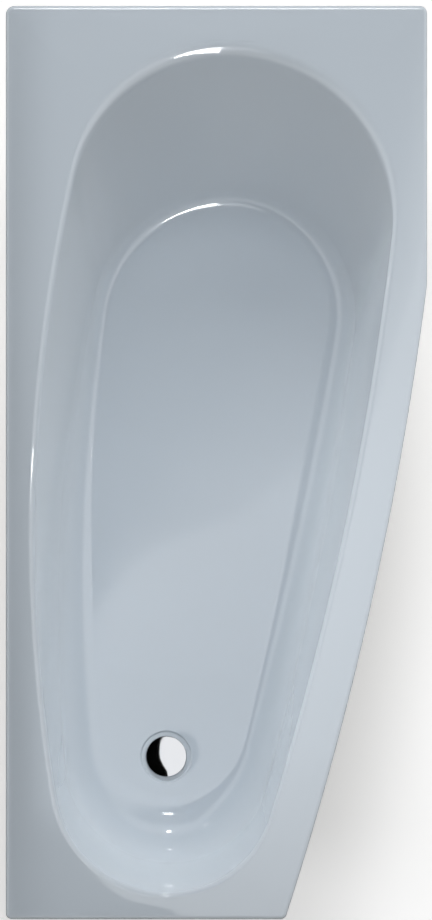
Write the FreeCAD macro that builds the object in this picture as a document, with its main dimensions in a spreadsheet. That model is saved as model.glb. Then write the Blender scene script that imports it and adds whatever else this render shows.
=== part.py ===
import FreeCAD, Part
import Sketcher
import math
import os
import re

# Space-saving bathtub: a moulded shell on an adjustable foot frame, with its push waste and trap.
# +Y points to the head end, +X to the tapered side, +Z up; the feet stand on the XY plane.

os.makedirs("parts", exist_ok=True)
doc = FreeCAD.newDocument("bathtub")
Vector = FreeCAD.Vector

# Driving sizes in millimetres, each with its place on the object
SIZES = [
    ("rim_length", 1500, "deck from head end to foot end"),
    ("rim_width", 692, "deck at the head end"),
    ("rim_height", 590, "deck above the floor the feet stand on"),
    ("foot_end_width", 459, "deck at the foot end"),
    ("straight_side", 459, "straight part of the tapered side, from the head end"),
    ("taper_bulge", 25, "rise of the tapered side's curve over its chord"),
    ("shoulder_corner", 200, "corner radius where the taper starts"),
    ("head_left_corner", 14, "deck corner radius"),
    ("head_right_corner", 12, "deck corner radius"),
    ("foot_left_corner", 9, "deck corner radius"),
    ("foot_right_corner", 10, "deck corner radius"),
    ("shell_wall", 6, "moulded shell, reinforcement included"),
    ("lip_depth", 36, "turned-down edge of the deck"),
    ("lip_wall", 5, "thickness of the turned-down edge"),
    ("lip_round", 4, "round on the outer top edge"),
    ("crown_from_left", 363, "head point of the well, from the long side"),
    ("toe_from_left", 266, "foot point of the well, from the long side"),
    ("head_deck", 74, "deck between the well and the head end"),
    ("foot_deck", 34, "deck between the well and the foot end"),
    ("head_left_deck", 101, "deck beside the head, long side"),
    ("head_right_deck", 46, "deck beside the head, tapered side"),
    ("foot_left_deck", 72, "deck beside the foot, long side"),
    ("foot_right_deck", 13, "deck beside the foot, from the foot corner"),
    ("left_side_radius", 2640, "long side of the well at the deck"),
    ("right_side_radius", 4870, "tapered side of the well at the deck"),
    ("well_depth", 400, "deck to the floor of the well"),
    ("backrest_run", 235, "how far the backrest leans in at the head"),
    ("toe_run", 136, "how far the wall leans in at the foot"),
    ("head_left_run", 52, "how far the wall leans in beside the head, long side"),
    ("head_right_run", 104, "the same on the tapered side"),
    ("foot_left_run", 72, "how far the wall leans in beside the foot, long side"),
    ("foot_right_run", 47, "the same on the tapered side"),
    ("floor_left_radius", 3260, "long side of the well at the floor"),
    ("floor_right_radius", 15000, "tapered side of the well at the floor"),
    ("crown_round", 45, "roll-over from deck to backrest"),
    ("crown_hollow", 50, "hollow from backrest to floor"),
    ("head_side_round", 15, "roll-over from deck to the walls beside the head"),
    ("head_side_hollow", 50, "hollow at the foot of those walls"),
    ("foot_side_round", 10, "roll-over from deck to the walls beside the foot"),
    ("foot_side_hollow", 75, "hollow at the foot of those walls"),
    ("toe_round", 10, "roll-over from deck to foot wall"),
    ("toe_hollow", 110, "hollow from foot wall to floor"),
    ("waste_from_left", 258, "waste centre from the long side"),
    ("waste_from_foot", 235, "waste centre from the foot end"),
    ("waste_hole_radius", 26, "hole through the floor"),
    ("recess_radius", 44, "shallow recess round the waste"),
    ("recess_round", 2.5, "round at the recess's edge"),
    ("boss_radius", 52, "thickened pad under the floor at the waste"),
    ("boss_depth", 4, "depth of that pad"),
    ("flange_radius", 34, "waste flange"),
    ("flange_height", 2.5, "waste flange"),
    ("flange_seal_height", 1.5, "seal under the flange"),
    ("dish_radius", 27, "conical seat in the flange"),
    ("dish_depth", 2, "conical seat in the flange"),
    ("tail_radius", 24, "threaded tail of the flange"),
    ("tail_wall", 3.5, "threaded tail of the flange"),
    ("tail_length", 46, "end of the tail below the floor of the well"),
    ("fit_gap", 0.3, "clearance round pieces that move or are wound on"),
    ("thread_gap", 0.05, "clearance of a thread or a sliding stem"),
    ("cap_radius", 36, "plug cap"),
    ("cap_edge", 2, "height of the cap's edge"),
    ("cap_height", 6, "height of the cap at its middle"),
    ("stem_radius", 4, "plug stem"),
    ("stem_head_radius", 13.5, "head of the stem under the cap"),
    ("stem_length", 46, "plug stem below the cap"),
    ("seal_overlap", 2, "how far the plug seal stands in from the seat's edge"),
    ("hub_radius", 8, "guide hub of the cartridge"),
    ("hub_top_drop", 18, "top of the hub below the floor of the well"),
    ("hub_height", 18, "guide hub of the cartridge"),
    ("ring_height", 8, "outer ring of the cartridge"),
    ("ring_wall", 2.5, "outer ring of the cartridge"),
    ("spoke_width", 3, "spokes between hub and ring"),
    ("spoke_count", 3, "spokes between hub and ring"),
    ("spring_radius", 6, "plug spring, middle of the wire"),
    ("spring_wire_radius", 0.6, "plug spring"),
    ("spring_turns", 5, "plug spring"),
    ("tail_washer_height", 3, "rubber washer under the floor"),
    ("tail_washer_radius", 38, "rubber washer under the floor"),
    ("backnut_height", 10, "nut under the washer"),
    ("backnut_across", 68, "across its flats"),
    ("trap_nut_grip", 14, "how far the trap nut reaches up the tail"),
    ("trap_nut_wall", 5, "trap nut"),
    ("trap_nut_lip", 3, "lip that holds the trap's collar"),
    ("trap_washer_height", 3, "washer between tail and collar"),
    ("collar_height", 3, "collar on the trap's inlet"),
    ("collar_radius", 27, "collar on the trap's inlet"),
    ("inlet_radius", 22, "inlet tube of the trap"),
    ("trap_wall", 3, "wall of trap and inlet tube"),
    ("neck_length", 8, "inlet tube between collar and bowl"),
    ("bowl_radius", 42, "trap bowl"),
    ("bowl_height", 94, "trap bowl"),
    ("dip_clearance", 12, "inlet tube's end above the bowl's lower edge"),
    ("cleanout_seal_height", 3, "seal under the bowl"),
    ("cleanout_cap_height", 22, "screwed cap under the bowl"),
    ("cleanout_floor", 4, "floor of that cap"),
    ("socket_wall", 5, "outlet socket of the trap"),
    ("socket_length", 34, "outlet socket beyond the bowl"),
    ("socket_depth", 26, "how far the pipe enters the socket"),
    ("outlet_shelf", 4, "bowl above the outlet socket"),
    ("outlet_seal_length", 8, "seal ring in the outlet nut"),
    ("outlet_nut_length", 26, "nut round the socket's end"),
    ("outlet_nut_wall", 4, "nut round the socket's end"),
    ("pipe_radius", 20, "waste pipe"),
    ("pipe_wall", 2, "waste pipe"),
    ("pipe_length", 150, "waste pipe, from inside the trap's socket"),
    ("pipe_socket_depth", 45, "socket at the pipe's free end"),
    ("board_height", 16, "stiffening board under the floor"),
    ("board_inset", 12, "board's edge inside the floor's edge"),
    ("board_stop", 75, "board's end before the waste centre"),
    ("batten_width", 18, "battens under the deck"),
    ("batten_height", 25, "battens under the deck"),
    ("batten_relief", 14, "battens clear of the rounded corners"),
    ("rail_width", 32, "folded steel rails"),
    ("rail_height", 20, "folded steel rails"),
    ("rail_gauge", 2, "folded steel rails"),
    ("rail_overhang", 18, "rail beyond the foot's screw"),
    ("head_rail_from_head", 500, "head rail from the head end"),
    ("foot_rail_from_foot", 350, "foot rail from the foot end"),
    ("foot_inset_long", 61, "feet from the long side"),
    ("foot_inset_taper", 68, "feet from the tapered side"),
    ("stud_radius", 6, "foot screw"),
    ("stud_above_rail", 45, "foot screw above the rail"),
    ("stud_chamfer", 1.5, "bevel at the foot screw's upper end"),
    ("nut_across", 19, "rail nut and locknut across flats"),
    ("rail_nut_height", 10, "nut fixed in the rail"),
    ("locknut_height", 7, "locknut on the foot screw"),
    ("pad_radius", 30, "foot pad"),
    ("pad_height", 14, "foot pad"),
    ("pad_rim", 4, "height of the pad's edge"),
    ("pad_sole", 4, "pad under the end of the screw"),
    ("stud_collar_radius", 11, "collar on the foot screw over the pad"),
    ("stud_collar_height", 6, "collar on the foot screw over the pad"),
    ("screw_radius", 2.5, "rail screws"),
    ("screw_head_radius", 5, "rail screws"),
    ("screw_head_height", 3, "rail screws"),
    ("screw_bite", 12, "rail screws in the board"),
    ("screw_spacing", 62, "rail screws along the rail"),
    ("cut_overrun", 5, "how far every cut runs past its piece"),
    ("find_gap", 0.1, "how close an edge must lie to a place to be the one meant"),
]

# Levels, radii and places that follow from the driving sizes
FORMULAS = [
    ("foot_corner_x", "foot_end_width - rim_width / 2"),
    ("shoulder_y", "rim_length / 2 - straight_side"),
    ("taper_dx", "rim_width / 2 - foot_corner_x"),
    ("taper_dy", "shoulder_y + rim_length / 2"),
    ("taper_chord", "sqrt(taper_dx ^ 2 + taper_dy ^ 2)"),
    ("taper_radius", "taper_chord ^ 2 / (8 * taper_bulge) + taper_bulge / 2"),
    ("taper_reach", "(taper_radius - taper_bulge) / taper_chord"),
    ("taper_centre_x", "(foot_corner_x + rim_width / 2) / 2 - taper_dy * taper_reach"),
    ("taper_centre_y", "(shoulder_y - rim_length / 2) / 2 + taper_dx * taper_reach"),
    ("crown_x", "crown_from_left - rim_width / 2"),
    ("crown_y", "rim_length / 2 - head_deck"),
    ("toe_x", "toe_from_left - rim_width / 2"),
    ("toe_y", "foot_deck - rim_length / 2"),
    ("head_left_radius", "crown_from_left - head_left_deck"),
    ("head_right_radius", "rim_width - crown_from_left - head_right_deck"),
    ("foot_left_radius", "toe_from_left - foot_left_deck"),
    ("foot_right_radius", "foot_end_width - toe_from_left - foot_right_deck"),
    ("floor_level", "rim_height - well_depth"),
    ("waste_x", "waste_from_left - rim_width / 2"),
    ("waste_y", "waste_from_foot - rim_length / 2"),
    ("recess_depth", "flange_height + flange_seal_height"),
    ("recess_level", "floor_level - recess_depth"),
    ("flange_level", "floor_level - flange_height"),
    ("bore_radius", "tail_radius - tail_wall"),
    ("tail_end", "floor_level - tail_length"),
    ("cap_level", "floor_level + fit_gap"),
    ("seat_slope", "dish_depth / (dish_radius - bore_radius)"),
    ("seal_radius", "dish_radius - seal_overlap"),
    ("seal_edge_level", "floor_level - seal_overlap * seat_slope + fit_gap"),
    ("seal_level", "floor_level - dish_depth + fit_gap"),
    ("hub_top", "floor_level - hub_top_drop"),
    ("hub_bottom", "hub_top - hub_height"),
    ("ring_radius", "bore_radius - fit_gap / 2"),
    ("ledge_radius", "bore_radius - ring_wall"),
    ("boss_level", "floor_level - shell_wall - boss_depth"),
    ("washer_bore", "tail_radius + fit_gap"),
    ("backnut_top", "boss_level - tail_washer_height"),
    ("backnut_corner", "backnut_across / sqrt(3)"),
    ("collar_top", "tail_end - trap_washer_height"),
    ("collar_bottom", "collar_top - collar_height"),
    ("trap_nut_cavity", "collar_radius + fit_gap"),
    ("trap_nut_radius", "trap_nut_cavity + trap_nut_wall"),
    ("trap_nut_ledge", "collar_bottom - fit_gap"),
    ("bowl_top", "collar_bottom - neck_length"),
    ("bowl_bottom", "bowl_top - bowl_height"),
    ("inlet_bore", "inlet_radius - trap_wall"),
    ("bowl_bore", "bowl_radius - trap_wall"),
    ("dip_end", "bowl_bottom + dip_clearance"),
    ("cleanout_floor_top", "bowl_bottom - cleanout_seal_height"),
    ("cleanout_bottom", "cleanout_floor_top - cleanout_floor"),
    ("cleanout_bore", "bowl_radius + thread_gap"),
    ("cleanout_radius", "cleanout_bore + cleanout_floor"),
    ("socket_bore", "pipe_radius + fit_gap"),
    ("socket_radius", "pipe_radius + socket_wall"),
    ("outlet_level", "bowl_top - outlet_shelf - socket_radius"),
    ("outlet_bore", "pipe_radius - pipe_wall"),
    ("socket_start", "sqrt(bowl_radius ^ 2 - socket_radius ^ 2) - trap_wall"),
    ("socket_end", "bowl_radius + socket_length"),
    ("pipe_start", "socket_end - socket_depth"),
    ("pipe_end", "pipe_start + pipe_length"),
    ("pipe_socket_start", "pipe_end - pipe_socket_depth"),
    ("pipe_socket_radius", "socket_bore + pipe_wall"),
    ("seal_end", "socket_end + outlet_seal_length"),
    ("outlet_nut_bore", "socket_radius + thread_gap"),
    ("outlet_nut_radius", "outlet_nut_bore + outlet_nut_wall"),
    ("outlet_nut_end", "seal_end + outlet_nut_wall"),
    ("outlet_nut_start", "outlet_nut_end - outlet_nut_length"),
    ("deck_underside", "rim_height - shell_wall"),
    ("batten_level", "deck_underside - batten_height"),
    ("lip_inner_length", "rim_length / 2 - lip_wall"),
    ("lip_inner_width", "rim_width / 2 - lip_wall"),
    ("board_level", "floor_level - shell_wall - board_height"),
    ("board_end", "waste_y + board_stop"),
    ("rail_underside", "board_level - rail_gauge"),
    ("rail_level", "board_level - rail_height"),
    ("head_rail_y", "rim_length / 2 - head_rail_from_head"),
    ("foot_rail_y", "foot_rail_from_foot - rim_length / 2"),
    ("head_edge_reach", "sqrt(taper_radius ^ 2 - (head_rail_y - taper_centre_y) ^ 2)"),
    ("foot_edge_reach", "sqrt(taper_radius ^ 2 - (foot_rail_y - taper_centre_y) ^ 2)"),
    ("long_foot_x", "foot_inset_long - rim_width / 2"),
    ("head_taper_foot_x", "min(taper_centre_x + head_edge_reach; rim_width / 2) - foot_inset_taper"),
    ("foot_taper_foot_x", "min(taper_centre_x + foot_edge_reach; rim_width / 2) - foot_inset_taper"),
    ("head_screws_x", "crown_x"),
    ("foot_screws_x", "toe_x"),
    ("stud_bore", "stud_radius + thread_gap"),
    ("locknut_bore", "stud_radius + thread_gap / 2"),
    ("nut_corner", "nut_across / sqrt(3)"),
    ("rail_nut_level", "rail_underside - rail_nut_height"),
    ("locknut_level", "rail_nut_level - locknut_height"),
    ("stud_top", "board_level + stud_above_rail"),
    ("screw_bore", "screw_radius + thread_gap"),
    ("screw_tip", "board_level + screw_bite"),
]

# Depths of the well's levels as shares of its depth, closer where deck and floor roll over
LEVEL_SHARES = [
    0, 0.0014, 0.0056, 0.0125, 0.022, 0.035, 0.055, 0.085, 0.13, 0.21, 0.33, 0.47, 0.6,
    0.7, 0.78, 0.85, 0.905, 0.945, 0.974, 0.993, 1,
]

sheet = doc.addObject("Spreadsheet::Sheet", "sizes")
for row, (alias, value, note) in enumerate(SIZES, start=1):
    sheet.set(f"A{row}", note)
    sheet.set(f"B{row}", str(value))
    sheet.setAlias(f"B{row}", alias)
for row, (alias, formula) in enumerate(FORMULAS, start=len(SIZES) + 1):
    sheet.set(f"B{row}", f"={formula}")
    sheet.setAlias(f"B{row}", alias)
doc.recompute()


def size(formula):
    """The number that a formula of the sheet's names gives."""
    return float(sheet.evalExpression(str(formula)))


def bound(formula):
    """The same formula, as another object's property reads it."""
    return re.sub(r"[a-z]\w*", r"sizes.\g<0>", str(formula))


nodes = []


def keep(item, label):
    """Names a finished sub-part, so that it is checked and written."""
    item.Label = label
    nodes.append(item)
    return item


def place(item, x="0", y="0", z="0"):
    """Binds where an item stands to formulas of the sheet."""
    item.setExpression("Placement.Base.x", bound(x))
    item.setExpression("Placement.Base.y", bound(y))
    item.setExpression("Placement.Base.z", bound(z))
    return item


# Sketches, bodies and primitives that the pieces share


def add_sketch(body, role, points, dome=None):
    """Adds a closed outline through points given as formulas; dome is the edge that is an arc."""
    sketch = body.newObject("Sketcher::SketchObject", body.Name + "_outline")
    plane = [item for item in body.Origin.OriginFeatures if item.Role == role][0]
    sketch.AttachmentSupport = [(plane, "")]
    sketch.MapMode = "FlatFace"
    corners = [Vector(size(x), size(y), 0) for x, y in points]
    count = len(corners)
    for index, corner in enumerate(corners):
        following = corners[(index + 1) % count]
        if index == dome:
            sketch.addGeometry(dome_arc(corner, following))
        else:
            sketch.addGeometry(Part.LineSegment(corner, following))
    for index in range(count):
        after = (index + 1) % count
        sketch.addConstraint(Sketcher.Constraint("Coincident", index, 2, after, 1))
    for index, (x, y) in enumerate(points):
        bind_point(sketch, index, x, y)
    if dome is not None:
        sketch.addConstraint(Sketcher.Constraint("PointOnObject", dome, 3, -2))
    return sketch


def dome_arc(low, high):
    """Arc from a point on the cap's edge up to the top of its axis."""
    rise = high.y - low.y
    radius = (low.x ** 2 + rise ** 2) / (2 * rise)
    centre = Vector(0, high.y - radius, 0)
    circle = Part.Circle(centre, Vector(0, 0, 1), radius)
    return Part.ArcOfCircle(circle, math.atan2(low.y - centre.y, low.x), math.pi / 2)


def bind_point(sketch, index, x, y):
    """Ties an edge's first point to its two formulas."""
    for axis, kind, formula in ((-2, "DistanceX", x), (-1, "DistanceY", y)):
        if str(formula) == "0":
            sketch.addConstraint(Sketcher.Constraint("PointOnObject", index, 1, axis))
        else:
            value = size(formula)
            rule = Sketcher.Constraint(kind, -1, 1, index, 1, value)
            number = sketch.addConstraint(rule)
            sketch.setExpression(f"Constraints[{number}]", bound(formula))


def turned(label, points, x="waste_x", y="waste_y", dome=None):
    """A body turned about its own vertical axis from a half section of (radius, height)."""
    body = doc.addObject("PartDesign::Body", label)
    sketch = add_sketch(body, "XZ_Plane", points, dome)
    turn = body.newObject("PartDesign::Revolution", body.Name + "_turn")
    turn.Profile = sketch
    turn.ReferenceAxis = (sketch, ["V_Axis"])
    turn.Angle = 360
    body.Tip = turn
    place(body, x, y)
    return body


def ring(label, inner, outer, bottom, top, x="waste_x", y="waste_y"):
    """A plain ring between two radii and two levels."""
    points = [(inner, bottom), (outer, bottom), (outer, top), (inner, top)]
    return turned(label, points, x, y)


def box(name, x, y, z, length, width, height):
    """A box bound to formulas for its corner and its sides."""
    item = doc.addObject("Part::Box", name)
    item.setExpression("Length", bound(length))
    item.setExpression("Width", bound(width))
    item.setExpression("Height", bound(height))
    return place(item, x, y, z)


def cylinder(name, x, y, z, radius, height):
    """An upright cylinder bound to formulas."""
    item = doc.addObject("Part::Cylinder", name)
    item.setExpression("Radius", bound(radius))
    item.setExpression("Height", bound(height))
    return place(item, x, y, z)


def hex_nut(name, x, y, z, corner, bore, height):
    """A hexagon nut: a six-sided prism less its bore."""
    blank = doc.addObject("Part::Prism", name + "_blank")
    blank.Polygon = 6
    blank.setExpression("Circumradius", bound(corner))
    blank.setExpression("Height", bound(height))
    place(blank, x, y, z)
    hole = cylinder(name + "_bore", x, y, f"{z} - cut_overrun", bore, f"{height} + 2 * cut_overrun")
    nut = doc.addObject("Part::Cut", name)
    nut.Base = blank
    nut.Tool = hole
    return nut


def group(label, members):
    """Like fasteners kept together as separate solids."""
    item = doc.addObject("Part::Compound", label)
    item.Links = members
    return keep(item, label)


def circle_pad(body, name, level, offset, radius, length, kind):
    """Pads or pockets a circle on a plane that stands `offset` out from the axis, facing -Y."""
    sketch = body.newObject("Sketcher::SketchObject", name + "_circle")
    plane = [item for item in body.Origin.OriginFeatures if item.Role == "XZ_Plane"][0]
    sketch.AttachmentSupport = [(plane, "")]
    sketch.MapMode = "FlatFace"
    sketch.setExpression("AttachmentOffset.Base.z", bound(offset))
    circle = Part.Circle(Vector(0, size(level), 0), Vector(0, 0, 1), size(radius))
    sketch.addGeometry(circle)
    sketch.addConstraint(Sketcher.Constraint("PointOnObject", 0, 3, -2))
    rule = Sketcher.Constraint("DistanceY", -1, 1, 0, 3, size(level))
    number = sketch.addConstraint(rule)
    sketch.setExpression(f"Constraints[{number}]", bound(level))
    number = sketch.addConstraint(Sketcher.Constraint("Radius", 0, size(radius)))
    sketch.setExpression(f"Constraints[{number}]", bound(radius))
    feature = body.newObject(kind, name)
    feature.Profile = sketch
    feature.setExpression("Length", bound(length))
    body.Tip = feature
    return feature


# Tub shell: one moulding, so the free-form well is lofted through its levels


def arc_between(start, centre, radius, finish):
    """Short arc from one point to another about a centre."""
    middle = (start + finish) * 0.5 - centre
    middle.normalize()
    return Part.Arc(start, centre + middle * radius, finish).toShape()


def side_centre(first, first_radius, second, second_radius, radius, side):
    """Centre of the large arc that touches two smaller arcs from outside their far sides."""
    first_reach = radius - first_radius
    second_reach = radius - second_radius
    along = second - first
    span = along.Length
    along.normalize()
    share = (first_reach ** 2 - second_reach ** 2 + span ** 2) / (2 * span)
    across = Vector(-along.y, along.x, 0) * side
    return first + along * share + across * math.sqrt(first_reach ** 2 - share ** 2)


def touch_point(centre, radius, inner):
    """Where an arc touches the larger arc with the given centre."""
    outward = inner - centre
    outward.normalize()
    return inner + outward * radius


class WellOutline:
    """Egg-shaped outline of six tangent arcs; each share runs from 0 at the deck to 1 at the floor."""

    def __init__(self, crown, head_side, foot_side, toe, grow=0.0):
        head_left = size("head_left_radius") - head_side * size("head_left_run") + grow
        head_right = size("head_right_radius") - head_side * size("head_right_run") + grow
        foot_left = size("foot_left_radius") - foot_side * size("foot_left_run") + grow
        foot_right = size("foot_right_radius") - foot_side * size("foot_right_run") + grow
        side = (head_side + foot_side) / 2
        left = self.blend("left_side_radius", "floor_left_radius", side) + grow
        right = self.blend("right_side_radius", "floor_right_radius", side) + grow
        crown_y = size("crown_y") - crown * size("backrest_run") + grow
        toe_y = size("toe_y") + toe * size("toe_run") - grow
        self.top = Vector(size("crown_x"), crown_y, 0)
        self.bottom = Vector(size("toe_x"), toe_y, 0)
        self.head_left = self.top - Vector(0, head_left, 0)
        self.head_right = self.top - Vector(0, head_right, 0)
        self.foot_left = self.bottom + Vector(0, foot_left, 0)
        self.foot_right = self.bottom + Vector(0, foot_right, 0)
        self.left = side_centre(self.head_left, head_left, self.foot_left, foot_left, left, 1)
        self.right = side_centre(self.head_right, head_right, self.foot_right, foot_right, right, -1)
        self.radii = (head_left, left, foot_left, foot_right, right, head_right)

    @staticmethod
    def blend(first, second, share):
        """Radius whose curvature lies between those of two named radii."""
        return 1 / ((1 - share) / size(first) + share / size(second))

    def left_reach(self):
        """Furthest point of the long side from the middle."""
        return self.left.x - self.radii[1]

    def wire(self, level):
        """Closed wire of the outline at a level."""
        head_left, left, foot_left, foot_right, right, head_right = self.radii
        one = touch_point(self.left, head_left, self.head_left)
        two = touch_point(self.left, foot_left, self.foot_left)
        three = touch_point(self.right, foot_right, self.foot_right)
        four = touch_point(self.right, head_right, self.head_right)
        edges = [
            arc_between(self.top, self.head_left, head_left, one),
            arc_between(one, self.left, left, two),
            arc_between(two, self.foot_left, foot_left, self.bottom),
            arc_between(self.bottom, self.foot_right, foot_right, three),
            arc_between(three, self.right, right, four),
            arc_between(four, self.head_right, head_right, self.top),
        ]
        closed = Part.Wire(edges)
        closed.translate(Vector(0, 0, level))
        return closed


def run_share(depth, run, edge, hollow):
    """Share of its run that a wall has leaned in at a depth: round, straight slope, hollow."""
    total = size("well_depth")
    rounds = edge + hollow
    tilt = math.atan2(total - rounds, run) + math.asin(rounds / math.hypot(run, total - rounds))
    edge_end = edge * (1 - math.cos(tilt))
    hollow_start = total - hollow * (1 - math.cos(tilt))
    if depth <= edge_end:
        reach = math.sqrt(edge ** 2 - (edge - depth) ** 2)
    elif depth >= hollow_start:
        reach = run - math.sqrt(hollow ** 2 - (hollow - (total - depth)) ** 2)
    else:
        reach = edge * math.sin(tilt) + (depth - edge_end) / math.tan(tilt)
    return reach / run


def well_outline(depth, grow=0.0):
    """Outline of the well at a depth below the deck, or grown by the wall for its outside."""
    walls = (
        run_share(depth, size("backrest_run"), size("crown_round"), size("crown_hollow")),
        run_share(depth, side_run, size("head_side_round"), size("head_side_hollow")),
        run_share(depth, side_run, size("foot_side_round"), size("foot_side_hollow")),
        run_share(depth, size("toe_run"), size("toe_round"), size("toe_hollow")),
    )
    return WellOutline(*walls, grow)


side_run = WellOutline(1, 1, 1, 1).left_reach() - WellOutline(0, 0, 0, 0).left_reach()


def well_skin(grow, drop):
    """Open surface of the well, from deck to floor, with the wires that end it."""
    depths = [share * size("well_depth") for share in LEVEL_SHARES]
    top = size("rim_height") - drop
    wires = [well_outline(depth, grow).wire(top - depth) for depth in depths]
    skin = Part.makeLoft(wires, False, False)
    return skin, level_wire(skin, top), level_wire(skin, top - size("well_depth"))


def level_wire(skin, level):
    """The surface's own edges at one level, as a wire."""
    flat = [edge for edge in skin.Edges if flat_at(edge, level)]
    return Part.Wire(Part.__sortEdges__(flat))


def flat_at(item, level):
    """Whether an edge or face lies in a level plane."""
    bounds = item.BoundBox
    gap = size("find_gap")
    return abs(bounds.ZMin - level) < gap and abs(bounds.ZMax - level) < gap


def deck_wire(inset):
    """Outline of the deck drawn in from its edge by an inset, with its four square corners sharp."""
    half_width = size("rim_width") / 2 - inset
    half_length = size("rim_length") / 2 - inset
    radius = size("taper_radius") - inset
    shoulder = size("shoulder_corner") - inset
    centre = Vector(size("taper_centre_x"), size("taper_centre_y"), 0)
    across = half_width - shoulder - centre.x
    rise = math.sqrt((radius - shoulder) ** 2 - across ** 2)
    rise = math.copysign(rise, size("shoulder_y") - centre.y)
    middle = centre + Vector(across, rise, 0)
    foot_reach = math.sqrt(radius ** 2 - (half_length + centre.y) ** 2)
    corners = [
        Vector(-half_width, half_length, 0),
        Vector(-half_width, -half_length, 0),
        Vector(centre.x + foot_reach, -half_length, 0),
        Vector(half_width, half_length, 0),
    ]
    taper_end = touch_point(centre, shoulder, middle)
    side_end = middle + Vector(shoulder, 0, 0)
    edges = [
        Part.makeLine(corners[0], corners[1]),
        Part.makeLine(corners[1], corners[2]),
        arc_between(corners[2], centre, radius, taper_end),
        arc_between(taper_end, middle, shoulder, side_end),
        Part.makeLine(side_end, corners[3]),
        Part.makeLine(corners[3], corners[0]),
    ]
    return Part.Wire(edges), corners


def deck_block(inset, bottom, top):
    """Upright block of the deck's outline with its corners rounded."""
    wire, corners = deck_wire(inset)
    block = Part.Face(wire).extrude(Vector(0, 0, top - bottom))
    block.translate(Vector(0, 0, bottom))
    names = ("head_left", "foot_left", "foot_right", "head_right")
    for corner, name in zip(corners, names):
        uprights = [edge for edge in block.Edges if stands_at(edge, corner)]
        block = block.makeFillet(size(f"{name}_corner") - inset, uprights)
    return block


def stands_at(edge, corner):
    """Whether an edge is the upright one at a corner."""
    bounds = edge.BoundBox
    near = math.hypot(bounds.Center.x - corner.x, bounds.Center.y - corner.y)
    return bounds.ZLength > size("find_gap") and near < size("find_gap")


def deck_with_lip():
    """Flat deck and turned-down lip, before the well is let into it."""
    lip_level = size("rim_height - lip_depth")
    outer = deck_block(0.0, lip_level, size("rim_height"))
    rim_edges = [edge for edge in outer.Edges if flat_at(edge, size("rim_height"))]
    outer = outer.makeFillet(size("lip_round"), rim_edges)
    overrun = size("cut_overrun")
    inner = deck_block(size("lip_wall"), lip_level - overrun, size("deck_underside"))
    return outer.cut(inner)


def pierced(faces, level, opening):
    """The level face with the well's wire as a hole, and the other faces as they were."""
    level_face = [face for face in faces if flat_at(face, level)][0]
    others = [face for face in faces if not face.isSame(level_face)]
    holed = Part.makeFace([level_face.OuterWire, opening], "Part::FaceMakerBullseye")
    return others + [holed]


def tub_shape():
    """Deck, lip and well sewn into one solid, with the waste recess, pad and hole."""
    wall = size("shell_wall")
    inside, inside_top, inside_floor = well_skin(0.0, 0.0)
    outside, outside_top, outside_floor = well_skin(wall, wall)
    faces = pierced(deck_with_lip().Faces, size("rim_height"), inside_top)
    faces = pierced(faces, size("deck_underside"), outside_top)
    faces += inside.Faces + outside.Faces
    faces += [Part.Face(inside_floor), Part.Face(outside_floor)]
    skin = Part.Shell(faces)
    skin.sewShape()
    tub = Part.Solid(skin)
    if tub.Volume < 0:
        tub.reverse()
    waste = Vector(size("waste_x"), size("waste_y"), 0)
    boss_level = size("boss_level")
    boss_height = size("boss_depth + shell_wall / 2")
    boss = Part.makeCylinder(size("boss_radius"), boss_height, waste + Vector(0, 0, boss_level))
    tub = tub.fuse(boss)
    overrun = size("cut_overrun")
    recess_base = waste + Vector(0, 0, size("recess_level"))
    recess = Part.makeCylinder(size("recess_radius"), size("recess_depth") + overrun, recess_base)
    bottom_edge = [edge for edge in recess.Edges if flat_at(edge, size("recess_level"))]
    recess = recess.makeFillet(size("recess_round"), bottom_edge)
    tub = tub.cut(recess)
    recess_rim = [edge for edge in tub.Edges if is_recess_rim(edge, waste)]
    tub = tub.makeFillet(size("recess_round"), recess_rim)
    hole_base = waste + Vector(0, 0, boss_level - overrun)
    hole_height = size("floor_level") - boss_level + 2 * overrun
    hole = Part.makeCylinder(size("waste_hole_radius"), hole_height, hole_base)
    return tub.cut(hole).removeSplitter()


def is_recess_rim(edge, waste):
    """Whether an edge is the recess's circle in the floor."""
    bounds = edge.BoundBox
    middle = math.hypot(bounds.Center.x - waste.x, bounds.Center.y - waste.y)
    wide = abs(bounds.XLength / 2 - size("recess_radius")) < size("find_gap")
    return flat_at(edge, size("floor_level")) and wide and middle < size("find_gap")


tub_shell = doc.addObject("Part::Feature", "tub_shell")
tub_shell.Shape = tub_shape()
keep(tub_shell, "tub_shell")

# Stiffening board: glued under the flat of the floor, stopped short of the waste
board_outline = WellOutline(1, 1, 1, 1, -size("board_inset")).wire(size("board_level"))
board_slab = Part.Face(board_outline).extrude(Vector(0, 0, size("board_height")))
board_blank = doc.addObject("Part::Feature", "board_blank")
board_blank.Shape = board_slab
board_tools = [
    box(
        "board_trim",
        "-rim_width / 2",
        "-rim_length / 2",
        "board_level - cut_overrun",
        "rim_width",
        "board_end + rim_length / 2",
        "board_height + 2 * cut_overrun",
    )
]
screw_places = []
for end in ("head", "foot"):
    for step in (-1, 0, 1):
        screw_places.append((f"{end}_screws_x + {step} * screw_spacing", f"{end}_rail_y"))
for number, (x, y) in enumerate(screw_places, start=1):
    pilot = f"board_pilot_{number}"
    board_tools.append(cylinder(pilot, x, y, "board_level - cut_overrun", "screw_bore",
                                "screw_bite + cut_overrun + fit_gap"))
board_cuts = doc.addObject("Part::MultiFuse", "board_cuts")
board_cuts.Shapes = board_tools
base_board = doc.addObject("Part::Cut", "base_board")
base_board.Base = board_blank
base_board.Tool = board_cuts
keep(base_board, "base_board")

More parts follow.
